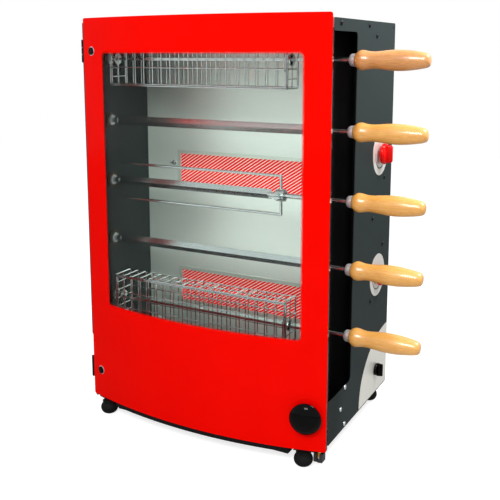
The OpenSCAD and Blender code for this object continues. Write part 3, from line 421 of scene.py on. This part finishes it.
wall_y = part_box("chamber_back_wall")[0].y
wings = []
for x in (burner_low.x - SCREW_OUT[0] * MM, tiles_high.x + SCREW_OUT[1] * MM):
    base = Vector((x, wall_y, burner_high.z - SCREW_DROP * MM))
    head = turned("wing_screw", base, (0, -1, 0), SCREW_RINGS, 20)
    blade = rounded_block("wing", base + Vector((-BLADE[0], -BLADE[1], -BLADE[2])) * MM,
                          base + Vector((BLADE[0], -BLADE_BACK, BLADE[2])) * MM, 1.0)
    wings += [head, blade]
wing_screws = join("burner_wing_screws", wings)
smooth(wing_screws)
belongs(wing_screws, "casing", plated_steel, "casing_screws")


# ---------- Gas pipes and valves ----------
# Drawn brass pipe and forged brass valves, dulled by handling, on a steel manifold that takes
# the hose at the back.
brass = surface("dull_brass", "#b08d4a", 0.38, 1.0)
grain(brass, 5.0, 0.004, ("#a07e40", "#b99653"), (0.3, 0.48))
pipe_steel = surface("drawn_steel_pipe", "#8f9597", 0.4, 0.9)
grain(pipe_steel, 3.0, 0.004, ("#868c8e", "#9a9fa1"), (0.34, 0.5), (1, 1, 12))
finish(brass, "gas_valve_lower", "gas_valve_upper", "gas_feeds")
finish(pipe_steel, "gas_manifold")


# ---------- Scale discs and control plate ----------
# Satin aluminium plates, fixed flat on the right panel. Each disc has one printed arc below its
# knob, thin at the front and thicker to the rear. The quarter-oval plate is bare.
ALUMINIUM = "#d6d5cf"
SCALE_MARK = "#1c1e20"
SCALE_RADIUS = (25, 29)
SCALE_TIP = 1.2
SCALE_SPAN = 200

discs_low, discs_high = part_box("scale_discs")
disc_half = (discs_high.y - discs_low.y) / 2
disc_pitch = (discs_high.z - discs_low.z) - 2 * disc_half
lower_middle = discs_low.z + disc_half
satin_plate = surface("satin_aluminium_plate", ALUMINIUM, 0.4, 0.55)
grain(satin_plate, 0.5, 0.003, ("#d0cfc9", "#dcdbd5"), (0.34, 0.48), (1, 30, 1))
finish(satin_plate, "control_plate")

scale_plate = surface("printed_scale_plate", ALUMINIUM, 0.4, 0.55)
tree = scale_plate.node_tree
shader = tree.nodes["Principled BSDF"]
place = node(tree, "TexCoord")
parts = node(tree, "SeparateXYZ", (), {0: place.outputs["Object"]})
across = node(tree, "Math", {"operation": "SUBTRACT"},
              {0: parts.outputs["Y"], 1: (discs_low.y + discs_high.y) / 2})
# Heights wrap from one disc to the other, so that both carry the same print
rise = node(tree, "Math", {"operation": "WRAP"},
            {0: parts.outputs["Z"], 1: lower_middle + disc_pitch / 2,
             2: lower_middle - disc_pitch / 2})
drop = node(tree, "Math", {"operation": "SUBTRACT"}, {0: lower_middle, 1: rise.outputs[0]})
flat = node(tree, "CombineXYZ", (), {0: across.outputs[0], 1: drop.outputs[0]})
radius = node(tree, "VectorMath", {"operation": "LENGTH"}, {0: flat.outputs[0]})
angle = node(tree, "Math", {"operation": "ARCTAN2"}, {0: across.outputs[0], 1: drop.outputs[0]})
half_span = math.radians(SCALE_SPAN / 2)
turn = node(tree, "MapRange", (), {0: angle.outputs[0], 1: -half_span, 2: half_span,
                                   3: (SCALE_RADIUS[1] - SCALE_TIP) * MM,
                                   4: SCALE_RADIUS[0] * MM})
inside = node(tree, "Math", {"operation": "GREATER_THAN"},
              {0: radius.outputs["Value"], 1: turn.outputs[0]})
outside = node(tree, "Math", {"operation": "LESS_THAN"},
               {0: radius.outputs["Value"], 1: SCALE_RADIUS[1] * MM})
reach = node(tree, "Math", {"operation": "ABSOLUTE"}, {0: angle.outputs[0]})
within = node(tree, "Math", {"operation": "LESS_THAN"}, {0: reach.outputs[0], 1: half_span})
band = node(tree, "Math", {"operation": "MULTIPLY"}, {0: inside.outputs[0], 1: outside.outputs[0]})
ink = node(tree, "Math", {"operation": "MULTIPLY"}, {0: band.outputs[0], 1: within.outputs[0]})
tint = node(tree, "Mix", {"data_type": "RGBA"},
            {0: ink.outputs[0], 6: colour(ALUMINIUM), 7: colour(SCALE_MARK)})
tree.links.new(tint.outputs[2], shader.inputs["Base Color"])
finish(scale_plate, "scale_discs")


# ---------- Drive ----------
# Machined steel gears on oiled bronze bushes, a brass pinion and a gearmotor in grey hammered
# paint, all out of sight in their cover. The mains inlet, the selector's switch and the housing of
# the catch are moulded in black plastic.
gear_steel = surface("machined_gear_steel", "#8f9699", 0.35, 0.95)
grain(gear_steel, 0.8, 0.01, ("#878e91", "#9ca2a5"), (0.28, 0.44), (1, 8, 8))
oiled_bronze = surface("oiled_sintered_bronze", "#3b2f1e", 0.5, 0.8)
grain(oiled_bronze, 1.2, 0.01, ("#332818", "#443622"), (0.42, 0.6))
motor_paint = surface("grey_hammered_paint", "#7b8286", 0.45, 0.3)
grain(motor_paint, 2.5, 0.05, ("#70777b", "#868d91"), (0.35, 0.5))
moulded_black = surface("moulded_black_plastic", "#141414", 0.55)
grain(moulded_black, 0.7, 0.02, ("#111111", "#191919"), (0.48, 0.65))
finish(gear_steel, "gear_1", "gear_2", "gear_3", "gear_4", "gear_5")
finish(brass, "motor_pinion")
finish(oiled_bronze, "gear_bushes")
finish(motor_paint, "gearmotor")
finish(moulded_black, "selector_switch", "mains_inlet", "catch_housing")


# ---------- Door ----------
# Bowed tempered glass with a gloss red enamel fired on round a clear window. The print ends in a
# soft edge, because its last millimetres are dots that thin out.
ENAMEL_RED = "#e80500"
FADE_MM = 7
WINDOW_LOW = (-195, 231)
WINDOW_HIGH = (204, 707)
WINDOW_RADIUS = 4

glass = surface("clear_tempered_glass", "#f4fbf8", 0.0, Transmission_Weight=1.0, IOR=1.15)
tree = glass.node_tree
shader = tree.nodes["Principled BSDF"]
path = node(tree, "LightPath")
clear = node(tree, "BsdfTransparent", (), {"Color": colour("#f4fbf8")})
through = node(tree, "MixShader", (), {0: path.outputs["Is Shadow Ray"],
                                       1: shader.outputs[0], 2: clear.outputs[0]})
tree.links.new(through.outputs[0], tree.nodes["Material Output"].inputs["Surface"])
finish(glass, "door_glass")

enamel = surface("fired_red_enamel", ENAMEL_RED, 0.12, Specular_IOR_Level=0.025)
tree = enamel.node_tree
shader = tree.nodes["Principled BSDF"]
window_low = at(WINDOW_LOW[0], 0, WINDOW_LOW[1])
window_high = at(WINDOW_HIGH[0], 0, WINDOW_HIGH[1])
place = node(tree, "TexCoord")
centred = node(tree, "VectorMath", {"operation": "SUBTRACT"},
               {0: place.outputs["Object"], 1: (window_low + window_high) / 2})
flattened = node(tree, "VectorMath", {"operation": "MULTIPLY"}, {0: centred.outputs[0],
                                                                 1: (1, 0, 1)})
folded = node(tree, "VectorMath", {"operation": "ABSOLUTE"}, {0: flattened.outputs[0]})
straight = (window_high - window_low) / 2 - Vector((WINDOW_RADIUS, 0, WINDOW_RADIUS)) * MM
over = node(tree, "VectorMath", {"operation": "SUBTRACT"},
            {0: folded.outputs[0], 1: (straight.x, 0, straight.z)})
clipped = node(tree, "VectorMath", {"operation": "MAXIMUM"}, {0: over.outputs[0], 1: (0, 0, 0)})
distance = node(tree, "VectorMath", {"operation": "LENGTH"}, {0: clipped.outputs[0]})
cover = node(tree, "MapRange", {"interpolation_type": "SMOOTHSTEP"},
             {0: distance.outputs["Value"], 1: WINDOW_RADIUS * MM,
              2: (WINDOW_RADIUS + FADE_MM) * MM, 3: 0.0, 4: 1.0})
tree.links.new(cover.outputs[0], shader.inputs["Alpha"])
flow = node(tree, "TexNoise", (), {"Vector": place.outputs["Object"], "Scale": 1 / (60 * MM)})
tint = node(tree, "Mix", {"data_type": "RGBA"},
            {0: flow.outputs["Fac"], 6: colour("#e40400"), 7: colour("#ec0600")})
tree.links.new(tint.outputs[2], shader.inputs["Base Color"])
finish(enamel, "door_enamel")

# The round pull is moulded in glossy black plastic, and so are the caps of the two hinge screws,
# each on a plated washer. The door's catch has a brass plunger on a plated spring.
PULL_AT = (218, 92)
PULL_RINGS = [(0.3, 14), (3, 14.2), (4.2, 21), (5.5, 25.4), (8, 27.8), (10.5, 28), (13.5, 26.3),
              (16.5, 22.6), (19, 17.3), (20.7, 11), (21.6, 4.7), (21.8, 0)]
STEM_MM = 9
STEM_RINGS = [(0, 8.6), (1.5, 9), (2.4, 9), (3.1, 3.6), (STEM_MM, 3.6)]
HINGE_SCREW_X = -228
HINGE_SCREW_HEIGHTS = (86, 713)
WASHER_RINGS = [(0, 8.4), (0.5, 8.4), (0.9, 7.9), (0.9, 6.6)]
DOOR_RADIUS = 924.7
DOOR_CENTRE = 882.7
ENAMEL_MM = 0.3

gloss_black = surface("glossy_black_plastic", "#020202", 0.08, Specular_IOR_Level=0.09)
grain(gloss_black, 9.0, 0.002, ("#010101", "#030303"), (0.06, 0.1))
finish(gloss_black, "door_screws")
finish(brass, "catch_plunger")
finish(plated_steel, "catch_spring")


def on_door(x, z):
    """The point on the door's outer face at a width and a height, and the way out of it"""
    lean = math.asin(x / DOOR_RADIUS)
    out = Vector((math.sin(lean), -math.cos(lean), 0))
    return at(0, DOOR_CENTRE, z) + out * (DOOR_RADIUS + ENAMEL_MM) * MM, out


spot, out = on_door(*PULL_AT)
pull = turned("door_pull", spot, out, PULL_RINGS, 64)
stem = turned("stem", spot - out * STEM_MM * MM, out, STEM_RINGS, 32)
pull = join("door_pull", [pull, stem])
smooth(pull, 30)
belongs(pull, "door", gloss_black, "door_knob", "door_knob")

washers = []
for height in HINGE_SCREW_HEIGHTS:
    spot, out = on_door(HINGE_SCREW_X, height)
    washers.append(turned("washer", spot, out, WASHER_RINGS, 32))
hinge_washers = join("hinge_screw_washers", washers)
smooth(hinge_washers)
belongs(hinge_washers, "door", plated_steel, "door_screws")


# ---------- Skewers and fork ----------
# Stainless steel: folded blades on round shafts, flat notched bars for the baskets and a fork of
# bent rod. Drawn and polished along their length, so highlights run in long streaks.
polished_steel = surface("polished_stainless_steel", "#c2c6c7", 0.2, 1.0)
grain(polished_steel, 1.0, 0.003, ("#b5babb", "#cdd1d2"), (0.14, 0.28), (40, 1, 1))
finish(polished_steel, "skewer_1", "skewer_2", "skewer_3", "skewer_4", "skewer_5", "fork_3",
       "fork_screw_3")


# ---------- Handles ----------
# Turned beech with a clear varnish: a full round collar, a waist, a belly and a tapered, rounded
# butt. Beech is pale, with faint streaks along the grain and short brown flecks.
STREAK_MM = (26, 1.8)
FLECK_MM = (3.2, 0.45)
HANDLE_SHARES = [(0, 0.62), (0.012, 0.68), (0.03, 0.8), (0.055, 0.92), (0.085, 0.975),
                 (0.115, 0.965), (0.15, 0.905), (0.19, 0.845), (0.24, 0.815), (0.3, 0.83),
                 (0.37, 0.885), (0.45, 0.95), (0.54, 0.995), (0.62, 1.0), (0.7, 0.965),
                 (0.78, 0.9), (0.86, 0.815), (0.93, 0.725), (0.965, 0.65), (0.985, 0.55),
                 (0.996, 0.38), (1.0, 0)]

# A pale, dulled aluminium cap fits over each ferrule, 0.15 mm proud of it
FERRULE_MM = 10
FERRULE_RINGS = [(-0.15, 3.4), (-0.15, 7.1), (1.15, 9.15), (3.15, 10.35), (5.5, 10.65),
                 (9.9, 10.65), (9.9, 10.0)]


def beech(name, pale, warm, fleck):
    """Varnished beech: two tones in streaks along X, with short dark flecks"""
    made = surface(name, pale, 0.36, Coat_Weight=0.55, Coat_Roughness=0.12)
    tree = made.node_tree
    shader = tree.nodes["Principled BSDF"]
    place = node(tree, "TexCoord")
    long_way = node(tree, "Mapping", (), {
        "Vector": place.outputs["Object"],
        "Scale": (1 / (STREAK_MM[0] * MM), 1 / (STREAK_MM[1] * MM), 1 / (STREAK_MM[1] * MM))})
    streak = node(tree, "TexNoise", (), {"Vector": long_way.outputs[0], "Scale": 1.0,
                                         "Detail": 4, "Distortion": 0.6})
    cloud = node(tree, "TexNoise", (), {"Vector": place.outputs["Object"],
                                        "Scale": 1 / (38 * MM), "Detail": 1})
    both = node(tree, "Math", {"operation": "MULTIPLY_ADD"},
                {0: cloud.outputs["Fac"], 1: 0.5, 2: streak.outputs["Fac"]})
    share = node(tree, "MapRange", (), {0: both.outputs[0], 1: 0.48, 2: 1.0})
    tone = node(tree, "Mix", {"data_type": "RGBA"},
                {0: share.outputs[0], 6: colour(pale), 7: colour(warm)})
    short_way = node(tree, "Mapping", (), {
        "Vector": place.outputs["Object"],
        "Scale": (1 / (FLECK_MM[0] * MM), 1 / (FLECK_MM[1] * MM), 1 / (FLECK_MM[1] * MM))})
    speck = node(tree, "TexNoise", (), {"Vector": short_way.outputs[0], "Scale": 1.0, "Detail": 1})
    mask = node(tree, "MapRange", (), {0: speck.outputs["Fac"], 1: 0.66, 2: 0.8, 3: 0.0, 4: 0.45})
    wood = node(tree, "Mix", {"data_type": "RGBA"},
                {0: mask.outputs[0], 6: tone.outputs[2], 7: colour(fleck)})
    tree.links.new(wood.outputs[2], shader.inputs["Base Color"])
    gloss = node(tree, "MapRange", (), {0: streak.outputs["Fac"], 3: 0.3, 4: 0.42})
    tree.links.new(gloss.outputs[0], shader.inputs["Roughness"])
    bump = node(tree, "Bump", (), {"Height": streak.outputs["Fac"], "Strength": 1.0,
                                   "Distance": 0.05 * MM})
    tree.links.new(bump.outputs[0], shader.inputs["Normal"])
    return made


def another(piece, name, change):
    """A copy of a piece with its own mesh, moved or turned by a matrix"""
    made = piece.copy()
    made.data = piece.data.copy()
    made.name = name
    made.data.name = name
    made.data.transform(change)
    bpy.context.scene.collection.objects.link(made)
    return made


yellow_beech = beech("varnished_pale_beech", "#e3aa5a", "#cc8d3e", "#93551f")
tan_beech = beech("varnished_tan_beech", "#d49659", "#b27136", "#783f18")
grip_low, grip_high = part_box("handle_3")
grip_length = (grip_high.x - grip_low.x) / MM
grip_radius = (grip_high.z - grip_low.z) / 2 / MM
grip_axis = (grip_low + grip_high) / 2
grip = turned("beech_grip", Vector((grip_low.x, grip_axis.y, grip_axis.z)), (1, 0, 0),
              [(along * grip_length, width * grip_radius) for along, width in HANDLE_SHARES], 32)
apply_modifier(grip, "SUBSURF", levels=1, render_levels=1)
smooth(grip, 60)
ferrule_sheet = surface("dulled_aluminium_sheet", "#bab4b3", 0.42, 0.6)
grain(ferrule_sheet, 2.0, 0.003, ("#b0aaa9", "#c4bebd"), (0.34, 0.5))
ferrule_end = Vector((grip_low.x - FERRULE_MM * MM, grip_axis.y, grip_axis.z))
cap = turned("ferrule_cap", ferrule_end, (1, 0, 0), FERRULE_RINGS, 40)
smooth(cap, 50)
for k in range(1, 6):
    low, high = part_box(f"handle_{k}")
    rise = Matrix.Translation((0, 0, (low.z + high.z) / 2 - grip_axis.z))
    belongs(another(grip, f"beech_grip_{k}", rise), f"skewer_{k}",
            tan_beech if k == 1 else yellow_beech, f"handle_{k}", f"handle_{k}")
    belongs(another(cap, f"ferrule_cap_{k}", rise), f"skewer_{k}", ferrule_sheet, f"skewer_{k}")
bpy.data.objects.remove(grip)
bpy.data.objects.remove(cap)


# ---------- Wire baskets ----------
# Chromed round wire, welded: U-shaped hoops across, long wires inside them, a heavier frame and
# a clamped boss at each end. A flat wire lid slides between two guide wires on each side.
WIRE_MM = 2.2
TOP_WIRE_MM = WIRE_MM * 1.3
GUIDE_WIRE_MM = WIRE_MM * 0.86
CROSS_WIRE_MM = WIRE_MM * 0.95
LID_WIRE_MM = WIRE_MM * 0.9
FRAME_WIRE_MM = 3.2
SHAFT_Y = 66
SHAFT_HEIGHTS = {1: 698, 5: 218}
BASKET_ENDS = (-231, 149)
BASKET_HALF = (51, 25)
HOOP_GAPS = 19
HOOP_BEND = 3.5
END_TOP = 18.4
MIDDLE_LEVEL = 1.1
GUIDE_OUT = 46.8
GUIDE_LEVELS = (21.1, 26.0)
LID_LEVEL = 23.6
LID_HALF = 48.5
LID_END_GAP = 1
FINGER_LOOP = (19, 6)
BOSS_RINGS = [(0, 10.2), (0.8, 11), (3.6, 11), (4.4, 10.2)]

chrome_wire = surface("chromed_steel_wire", "#c9cdcf", 0.16, 1.0)
grain(chrome_wire, 3.0, 0.003, ("#bcc1c3", "#d3d7d9"), (0.1, 0.24))
half_y = BASKET_HALF[0] - WIRE_MM / 2
half_z = BASKET_HALF[1] - WIRE_MM / 2
hoop_top = BASKET_HALF[1] + WIRE_MM / 2
first_x = BASKET_ENDS[0] + WIRE_MM / 2
hoop_pitch = (BASKET_ENDS[1] - BASKET_ENDS[0] - WIRE_MM) / HOOP_GAPS


def from_axis(x, y, z):
    """A point of a flat basket, from the middle of the lowest skewer"""
    return at(x, SHAFT_Y + y, SHAFT_HEIGHTS[5] + z)


def wire_loop(name, x, low, high, thick, bend, open_top):
    """A bent wire across the basket: a rectangle with round corners, or a U when it is open"""
    deselect()
    bpy.ops.mesh.primitive_plane_add(
        size=1, location=from_axis(x, (low[0] + high[0]) / 2, (low[1] + high[1]) / 2),
        rotation=(math.pi / 2, 0, math.pi / 2))
    bpy.context.object.scale = ((high[0] - low[0]) * MM, (high[1] - low[1]) * MM, 1)
    loop = settle(name)
    top = from_axis(x, 0, high[1]).z
    bpy.ops.object.mode_set(mode="EDIT")
    bpy.ops.mesh.select_all(action="SELECT")
    bpy.ops.mesh.delete(type="ONLY_FACE")
    bpy.ops.object.mode_set(mode="OBJECT")
    for vertex in loop.data.vertices:
        vertex.select = not open_top or vertex.co.z < top - 1e-5
    for edge in loop.data.edges:
        edge.select = False
    bpy.ops.object.mode_set(mode="EDIT")
    bpy.ops.mesh.select_mode(type="VERT")
    bpy.ops.mesh.bevel(offset=bend * MM, segments=4, affect="VERTICES")
    bpy.ops.object.mode_set(mode="OBJECT")
    if open_top:
        for part in (loop.data.vertices, loop.data.edges, loop.data.polygons):
            for item in part:
                item.select = False
        for edge in loop.data.edges:
            edge.select = all(loop.data.vertices[v].co.z > top - 1e-5 for v in edge.vertices)
        bpy.ops.object.mode_set(mode="EDIT")
        bpy.ops.mesh.select_mode(type="EDGE")
        bpy.ops.mesh.delete(type="EDGE")
        bpy.ops.mesh.select_mode(type="VERT")
        bpy.ops.object.mode_set(mode="OBJECT")
    return tube(loop, thick)


def tube(path, thick):
    """Turns a path of edges into round wire"""
    bpy.ops.object.convert(target="CURVE")
    line = bpy.context.object
    line.data.bevel_depth = thick / 2 * MM
    line.data.bevel_resolution = 2
    line.data.use_fill_caps = True
    bpy.ops.object.convert(target="MESH")
    bpy.ops.object.mode_set(mode="EDIT")
    bpy.ops.mesh.select_all(action="SELECT")
    bpy.ops.mesh.remove_doubles(threshold=0.01 * MM)
    bpy.ops.object.mode_set(mode="OBJECT")
    turn_out()
    return bpy.context.object


def straight_wire(name, start, end, thick):
    """A straight round wire between two points"""
    deselect()
    along = end - start
    bpy.ops.mesh.primitive_cylinder_add(
        vertices=10, radius=thick / 2 * MM, depth=along.length, location=(start + end) / 2,
        rotation=Vector((0, 0, 1)).rotation_difference(along).to_euler())
    return settle(name)


def long_wire(y, z, thick, ends=BASKET_ENDS):
    """A wire along the basket"""
    return straight_wire("long_wire", from_axis(ends[0], y, z), from_axis(ends[1], y, z), thick)


def row(piece, gaps, step):
    """Repeats a piece along the skewer"""
    apply_modifier(piece, "ARRAY", count=gaps + 1, use_relative_offset=False,
                   use_constant_offset=True, constant_offset_displace=(step * MM, 0, 0))
    return piece


wires = [row(wire_loop("hoop", first_x, (-half_y, -half_z), (half_y, hoop_top), WIRE_MM,
                       HOOP_BEND, True), HOOP_GAPS, hoop_pitch)]
inner_y, inner_z = half_y - WIRE_MM * 0.9, half_z - WIRE_MM * 0.9
for y, z in ((-inner_y, -inner_z), (-inner_y / 3, -inner_z), (inner_y / 3, -inner_z),
             (inner_y, -inner_z), (-inner_y, MIDDLE_LEVEL), (inner_y, MIDDLE_LEVEL)):
    wires.append(long_wire(y, z, WIRE_MM))
for side in (-1, 1):
    wires.append(long_wire(side * half_y, hoop_top, TOP_WIRE_MM))
    for level in GUIDE_LEVELS:
        wires.append(long_wire(side * GUIDE_OUT, level, GUIDE_WIRE_MM))
for x, way in ((BASKET_ENDS[0] + FRAME_WIRE_MM / 2, 1), (BASKET_ENDS[1] - FRAME_WIRE_MM / 2, -1)):
    wires.append(wire_loop("end_frame", x, (-half_y, -half_z), (half_y, END_TOP), FRAME_WIRE_MM,
                           HOOP_BEND, False))
    for share in (-2, -1, 0, 1, 2):
        y = share * half_y / 3
        wires.append(straight_wire("end_bar", from_axis(x + way * 0.6, y, -half_z),
                                   from_axis(x + way * 0.6, y, END_TOP), WIRE_MM))
    wires.append(straight_wire("end_rail", from_axis(x, -half_y, 0), from_axis(x, half_y, 0),
                               WIRE_MM))
    wires.append(turned("boss", from_axis(x - way * FRAME_WIRE_MM / 2, 0, 0), (way, 0, 0),
                        BOSS_RINGS, 32))
basket = join("wire_basket", wires)
smooth(basket, 50)

lid_ends = (BASKET_ENDS[0] + LID_END_GAP, BASKET_ENDS[1] - LID_END_GAP)
lid_first = first_x + LID_END_GAP
rows = [row(straight_wire("cross_wire", from_axis(lid_first, -LID_HALF, LID_LEVEL),
                          from_axis(lid_first, LID_HALF, LID_LEVEL), CROSS_WIRE_MM),
            HOOP_GAPS, (lid_ends[1] - lid_ends[0] - WIRE_MM) / HOOP_GAPS)]
edge_y = LID_HALF - WIRE_MM / 2
for y in (-edge_y, -edge_y / 3, edge_y / 3, edge_y):
    rows.append(long_wire(y, LID_LEVEL, LID_WIRE_MM, lid_ends))
rows.append(wire_loop("finger_loop", lid_ends[1] - WIRE_MM / 2, (-FINGER_LOOP[0], LID_LEVEL),
                      (FINGER_LOOP[0], LID_LEVEL + FINGER_LOOP[1]), WIRE_MM, 2.5, False))
lid = join("wire_lid", rows)
smooth(lid, 50)

# Both baskets are turned upright on their skewers, with their lids to the front
for k, height in SHAFT_HEIGHTS.items():
    change = (Matrix.Translation(at(0, SHAFT_Y, height)) @ Matrix.Rotation(math.pi / 2, 4, "X")
              @ Matrix.Translation(-at(0, SHAFT_Y, SHAFT_HEIGHTS[5])))
    belongs(another(basket, f"wire_basket_{k}", change), f"skewer_{k}", chrome_wire,
            f"basket_{k}", f"basket_{k}")
    belongs(another(lid, f"wire_lid_{k}", change), f"lid_{k}", chrome_wire,
            f"basket_lid_{k}", f"basket_lid_{k}")
bpy.data.objects.remove(basket)
bpy.data.objects.remove(lid)


# ---------- Gas knobs ----------
# Glossy red moulded knobs: a round skirt with a thick rounded wing across it, on a steel spindle
# that goes through the panel into the valve.
SKIRT_RINGS = [(0, 18.6), (0.8, 19.6), (2, 20), (5.5, 20), (7.5, 19), (9, 16.5), (10, 12),
               (10.4, 0)]
GRIP = (11.5, 35)
GRIP_START = 6
KNOB_FACE = 256.8
SPINDLE_MM = 8
SPINDLE_IN = 2

gloss_red = surface("glossy_red_plastic", "#cc0806", 0.16, Specular_IOR_Level=0.16)
grain(gloss_red, 6.0, 0.003, ("#c40604", "#d20a08"), (0.12, 0.2))


def wing(name, low, high, radius, waist):
    """A rounded grip whose outer half is pinched to a narrower ridge"""
    piece = rounded_block(name, low, high, radius, 4)
    middle = (low.x + high.x) / 2
    for part in (piece.data.vertices, piece.data.edges, piece.data.polygons):
        for item in part:
            item.select = False
    for vertex in piece.data.vertices:
        vertex.select = vertex.co.x > middle
    bpy.ops.object.mode_set(mode="EDIT")
    bpy.ops.transform.resize(value=(1, waist, 0.93), center_override=(low + high) / 2)
    bpy.ops.object.mode_set(mode="OBJECT")
    return piece


for name in ("gas_knob_lower", "gas_knob_upper"):
    low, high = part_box(name)
    height = (low.z + high.z) / 2
    face = Vector((at(KNOB_FACE, 0, 0).x, (low.y + high.y) / 2, height))
    skirt = turned("skirt", face, (1, 0, 0), SKIRT_RINGS, 48)
    half = Vector((0, GRIP[0] / 2, GRIP[1] / 2)) * MM
    grip = wing("grip", face + Vector((GRIP_START * MM, 0, 0)) - half,
                Vector((high.x, face.y, height)) + half, 4.0, 0.62)
    spindle = straight_wire("spindle", Vector((low.x, face.y, height)),
                            face + Vector((SPINDLE_IN * MM, 0, 0)), SPINDLE_MM)
    piece = join(f"wing_{name}", [skirt, grip, spindle])
    smooth(piece, 40)
    belongs(piece, name, gloss_red, name, name)


# ---------- Selector knob ----------
# A small bar knob moulded in glossy black plastic: a thin round skirt with a narrow ridge across
# it, pushed on the spindle of the selector's switch.
SELECTOR_RINGS = [(0, 11.6), (0.6, 12), (3.6, 12), (4.8, 11), (5, 0)]
SELECTOR_HALF = (3, 13.4)
SELECTOR_FACE = 253.4
SELECTOR_SPINDLE_MM = 6

low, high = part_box("selector_knob")
middle = (low + high) / 2
face = Vector((at(SELECTOR_FACE, 0, 0).x, middle.y, middle.z))
inner_end = face + Vector((SPINDLE_IN * MM, 0, 0))
skirt = turned("skirt", face, (1, 0, 0), SELECTOR_RINGS, 40)
half = Vector((0, *SELECTOR_HALF)) * MM
grip = wing("grip", inner_end - half, Vector((high.x, middle.y, middle.z)) + half, 2.2, 0.7)
spindle = straight_wire("spindle", Vector((low.x, middle.y, middle.z)), inner_end,
                        SELECTOR_SPINDLE_MM)
selector = join("selector_bar_knob", [skirt, grip, spindle])
smooth(selector, 40)
belongs(selector, "selector_knob", gloss_black, "selector_knob", "selector_knob")


# ---------- Casing screws ----------
# Pan-head screws with a cross recess: bright zinc at the lower front corner and on the rear cover,
# blackened elsewhere.
HEAD_RINGS = [(-2.4, 2), (0, 2), (0, 4.2), (0.9, 4.2), (1.6, 3.8), (2.1, 3.0), (2.4, 1.8),
              (2.45, 0)]
HEAD_TOP = 2.5
RECESS = (4.6, 1.1, 1.3)
BRIGHT_BELOW = 143
BRIGHT_FRONT = 100

black_steel = surface("blackened_screw_steel", "#141516", 0.35, 0.85)
grain(black_steel, 2.0, 0.004, ("#101112", "#1b1c1d"), (0.28, 0.42))
screw = turned("pan_screw", Vector((0, 0, 0)), (0, 0, 1), HEAD_RINGS, 20)
for size in ((RECESS[0], RECESS[1]), (RECESS[1], RECESS[0])):
    deselect()
    bpy.ops.mesh.primitive_cube_add(size=1, location=(0, 0, HEAD_TOP * MM),
                                    scale=(size[0] * MM, size[1] * MM, 2 * RECESS[2] * MM))
    slot_block = settle("recess")
    apply_modifier(screw, "BOOLEAN", operation="DIFFERENCE", object=slot_block, solver="EXACT")
    bpy.data.objects.remove(slot_block)
smooth(screw, 30)


def solids(name):
    """The lowest and highest corner of each separate solid of a CAD node"""
    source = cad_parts[name]
    copy = bpy.data.objects.new("solids", source.data.copy())
    bpy.context.scene.collection.objects.link(copy)
    deselect()
    copy.select_set(True)
    bpy.context.view_layer.objects.active = copy
    bpy.ops.object.mode_set(mode="EDIT")
    bpy.ops.mesh.select_all(action="SELECT")
    bpy.ops.mesh.remove_doubles(threshold=1e-6)
    bpy.ops.mesh.separate(type="LOOSE")
    bpy.ops.object.mode_set(mode="OBJECT")
    boxes = []
    for part in list(bpy.context.selected_objects):
        places = [vertex.co for vertex in part.data.vertices]
        boxes.append([Vector([pick(p[i] for p in places) for i in range(3)])
                      for pick in (min, max)])
        bpy.data.objects.remove(part)
    return boxes


bright, dark = [], []
for low, high in solids("casing_screws"):
    middle = (low + high) / 2
    spread = high - low
    if spread.y < min(spread.x, spread.z):
        way = Vector((0, 1, 0))
    else:
        way = Vector((1 if middle.x > corner.x else -1, 0, 0))
    turn = Vector((0, 0, 1)).rotation_difference(way).to_matrix().to_4x4()
    made = another(screw, "pan_screw", Matrix.Translation(middle) @ turn)
    low_front = middle.z < BRIGHT_BELOW * MM and middle.y < at(0, BRIGHT_FRONT, 0).y
    near_front = way.x > 0 and low_front
    (bright if way.y or near_front else dark).append(made)
bpy.data.objects.remove(screw)
belongs(join("bright_pan_screws", bright), "casing", plated_steel, "casing_screws", "casing_screws")
belongs(join("black_pan_screws", dark), "casing", black_steel, "casing_screws", "casing_screws")
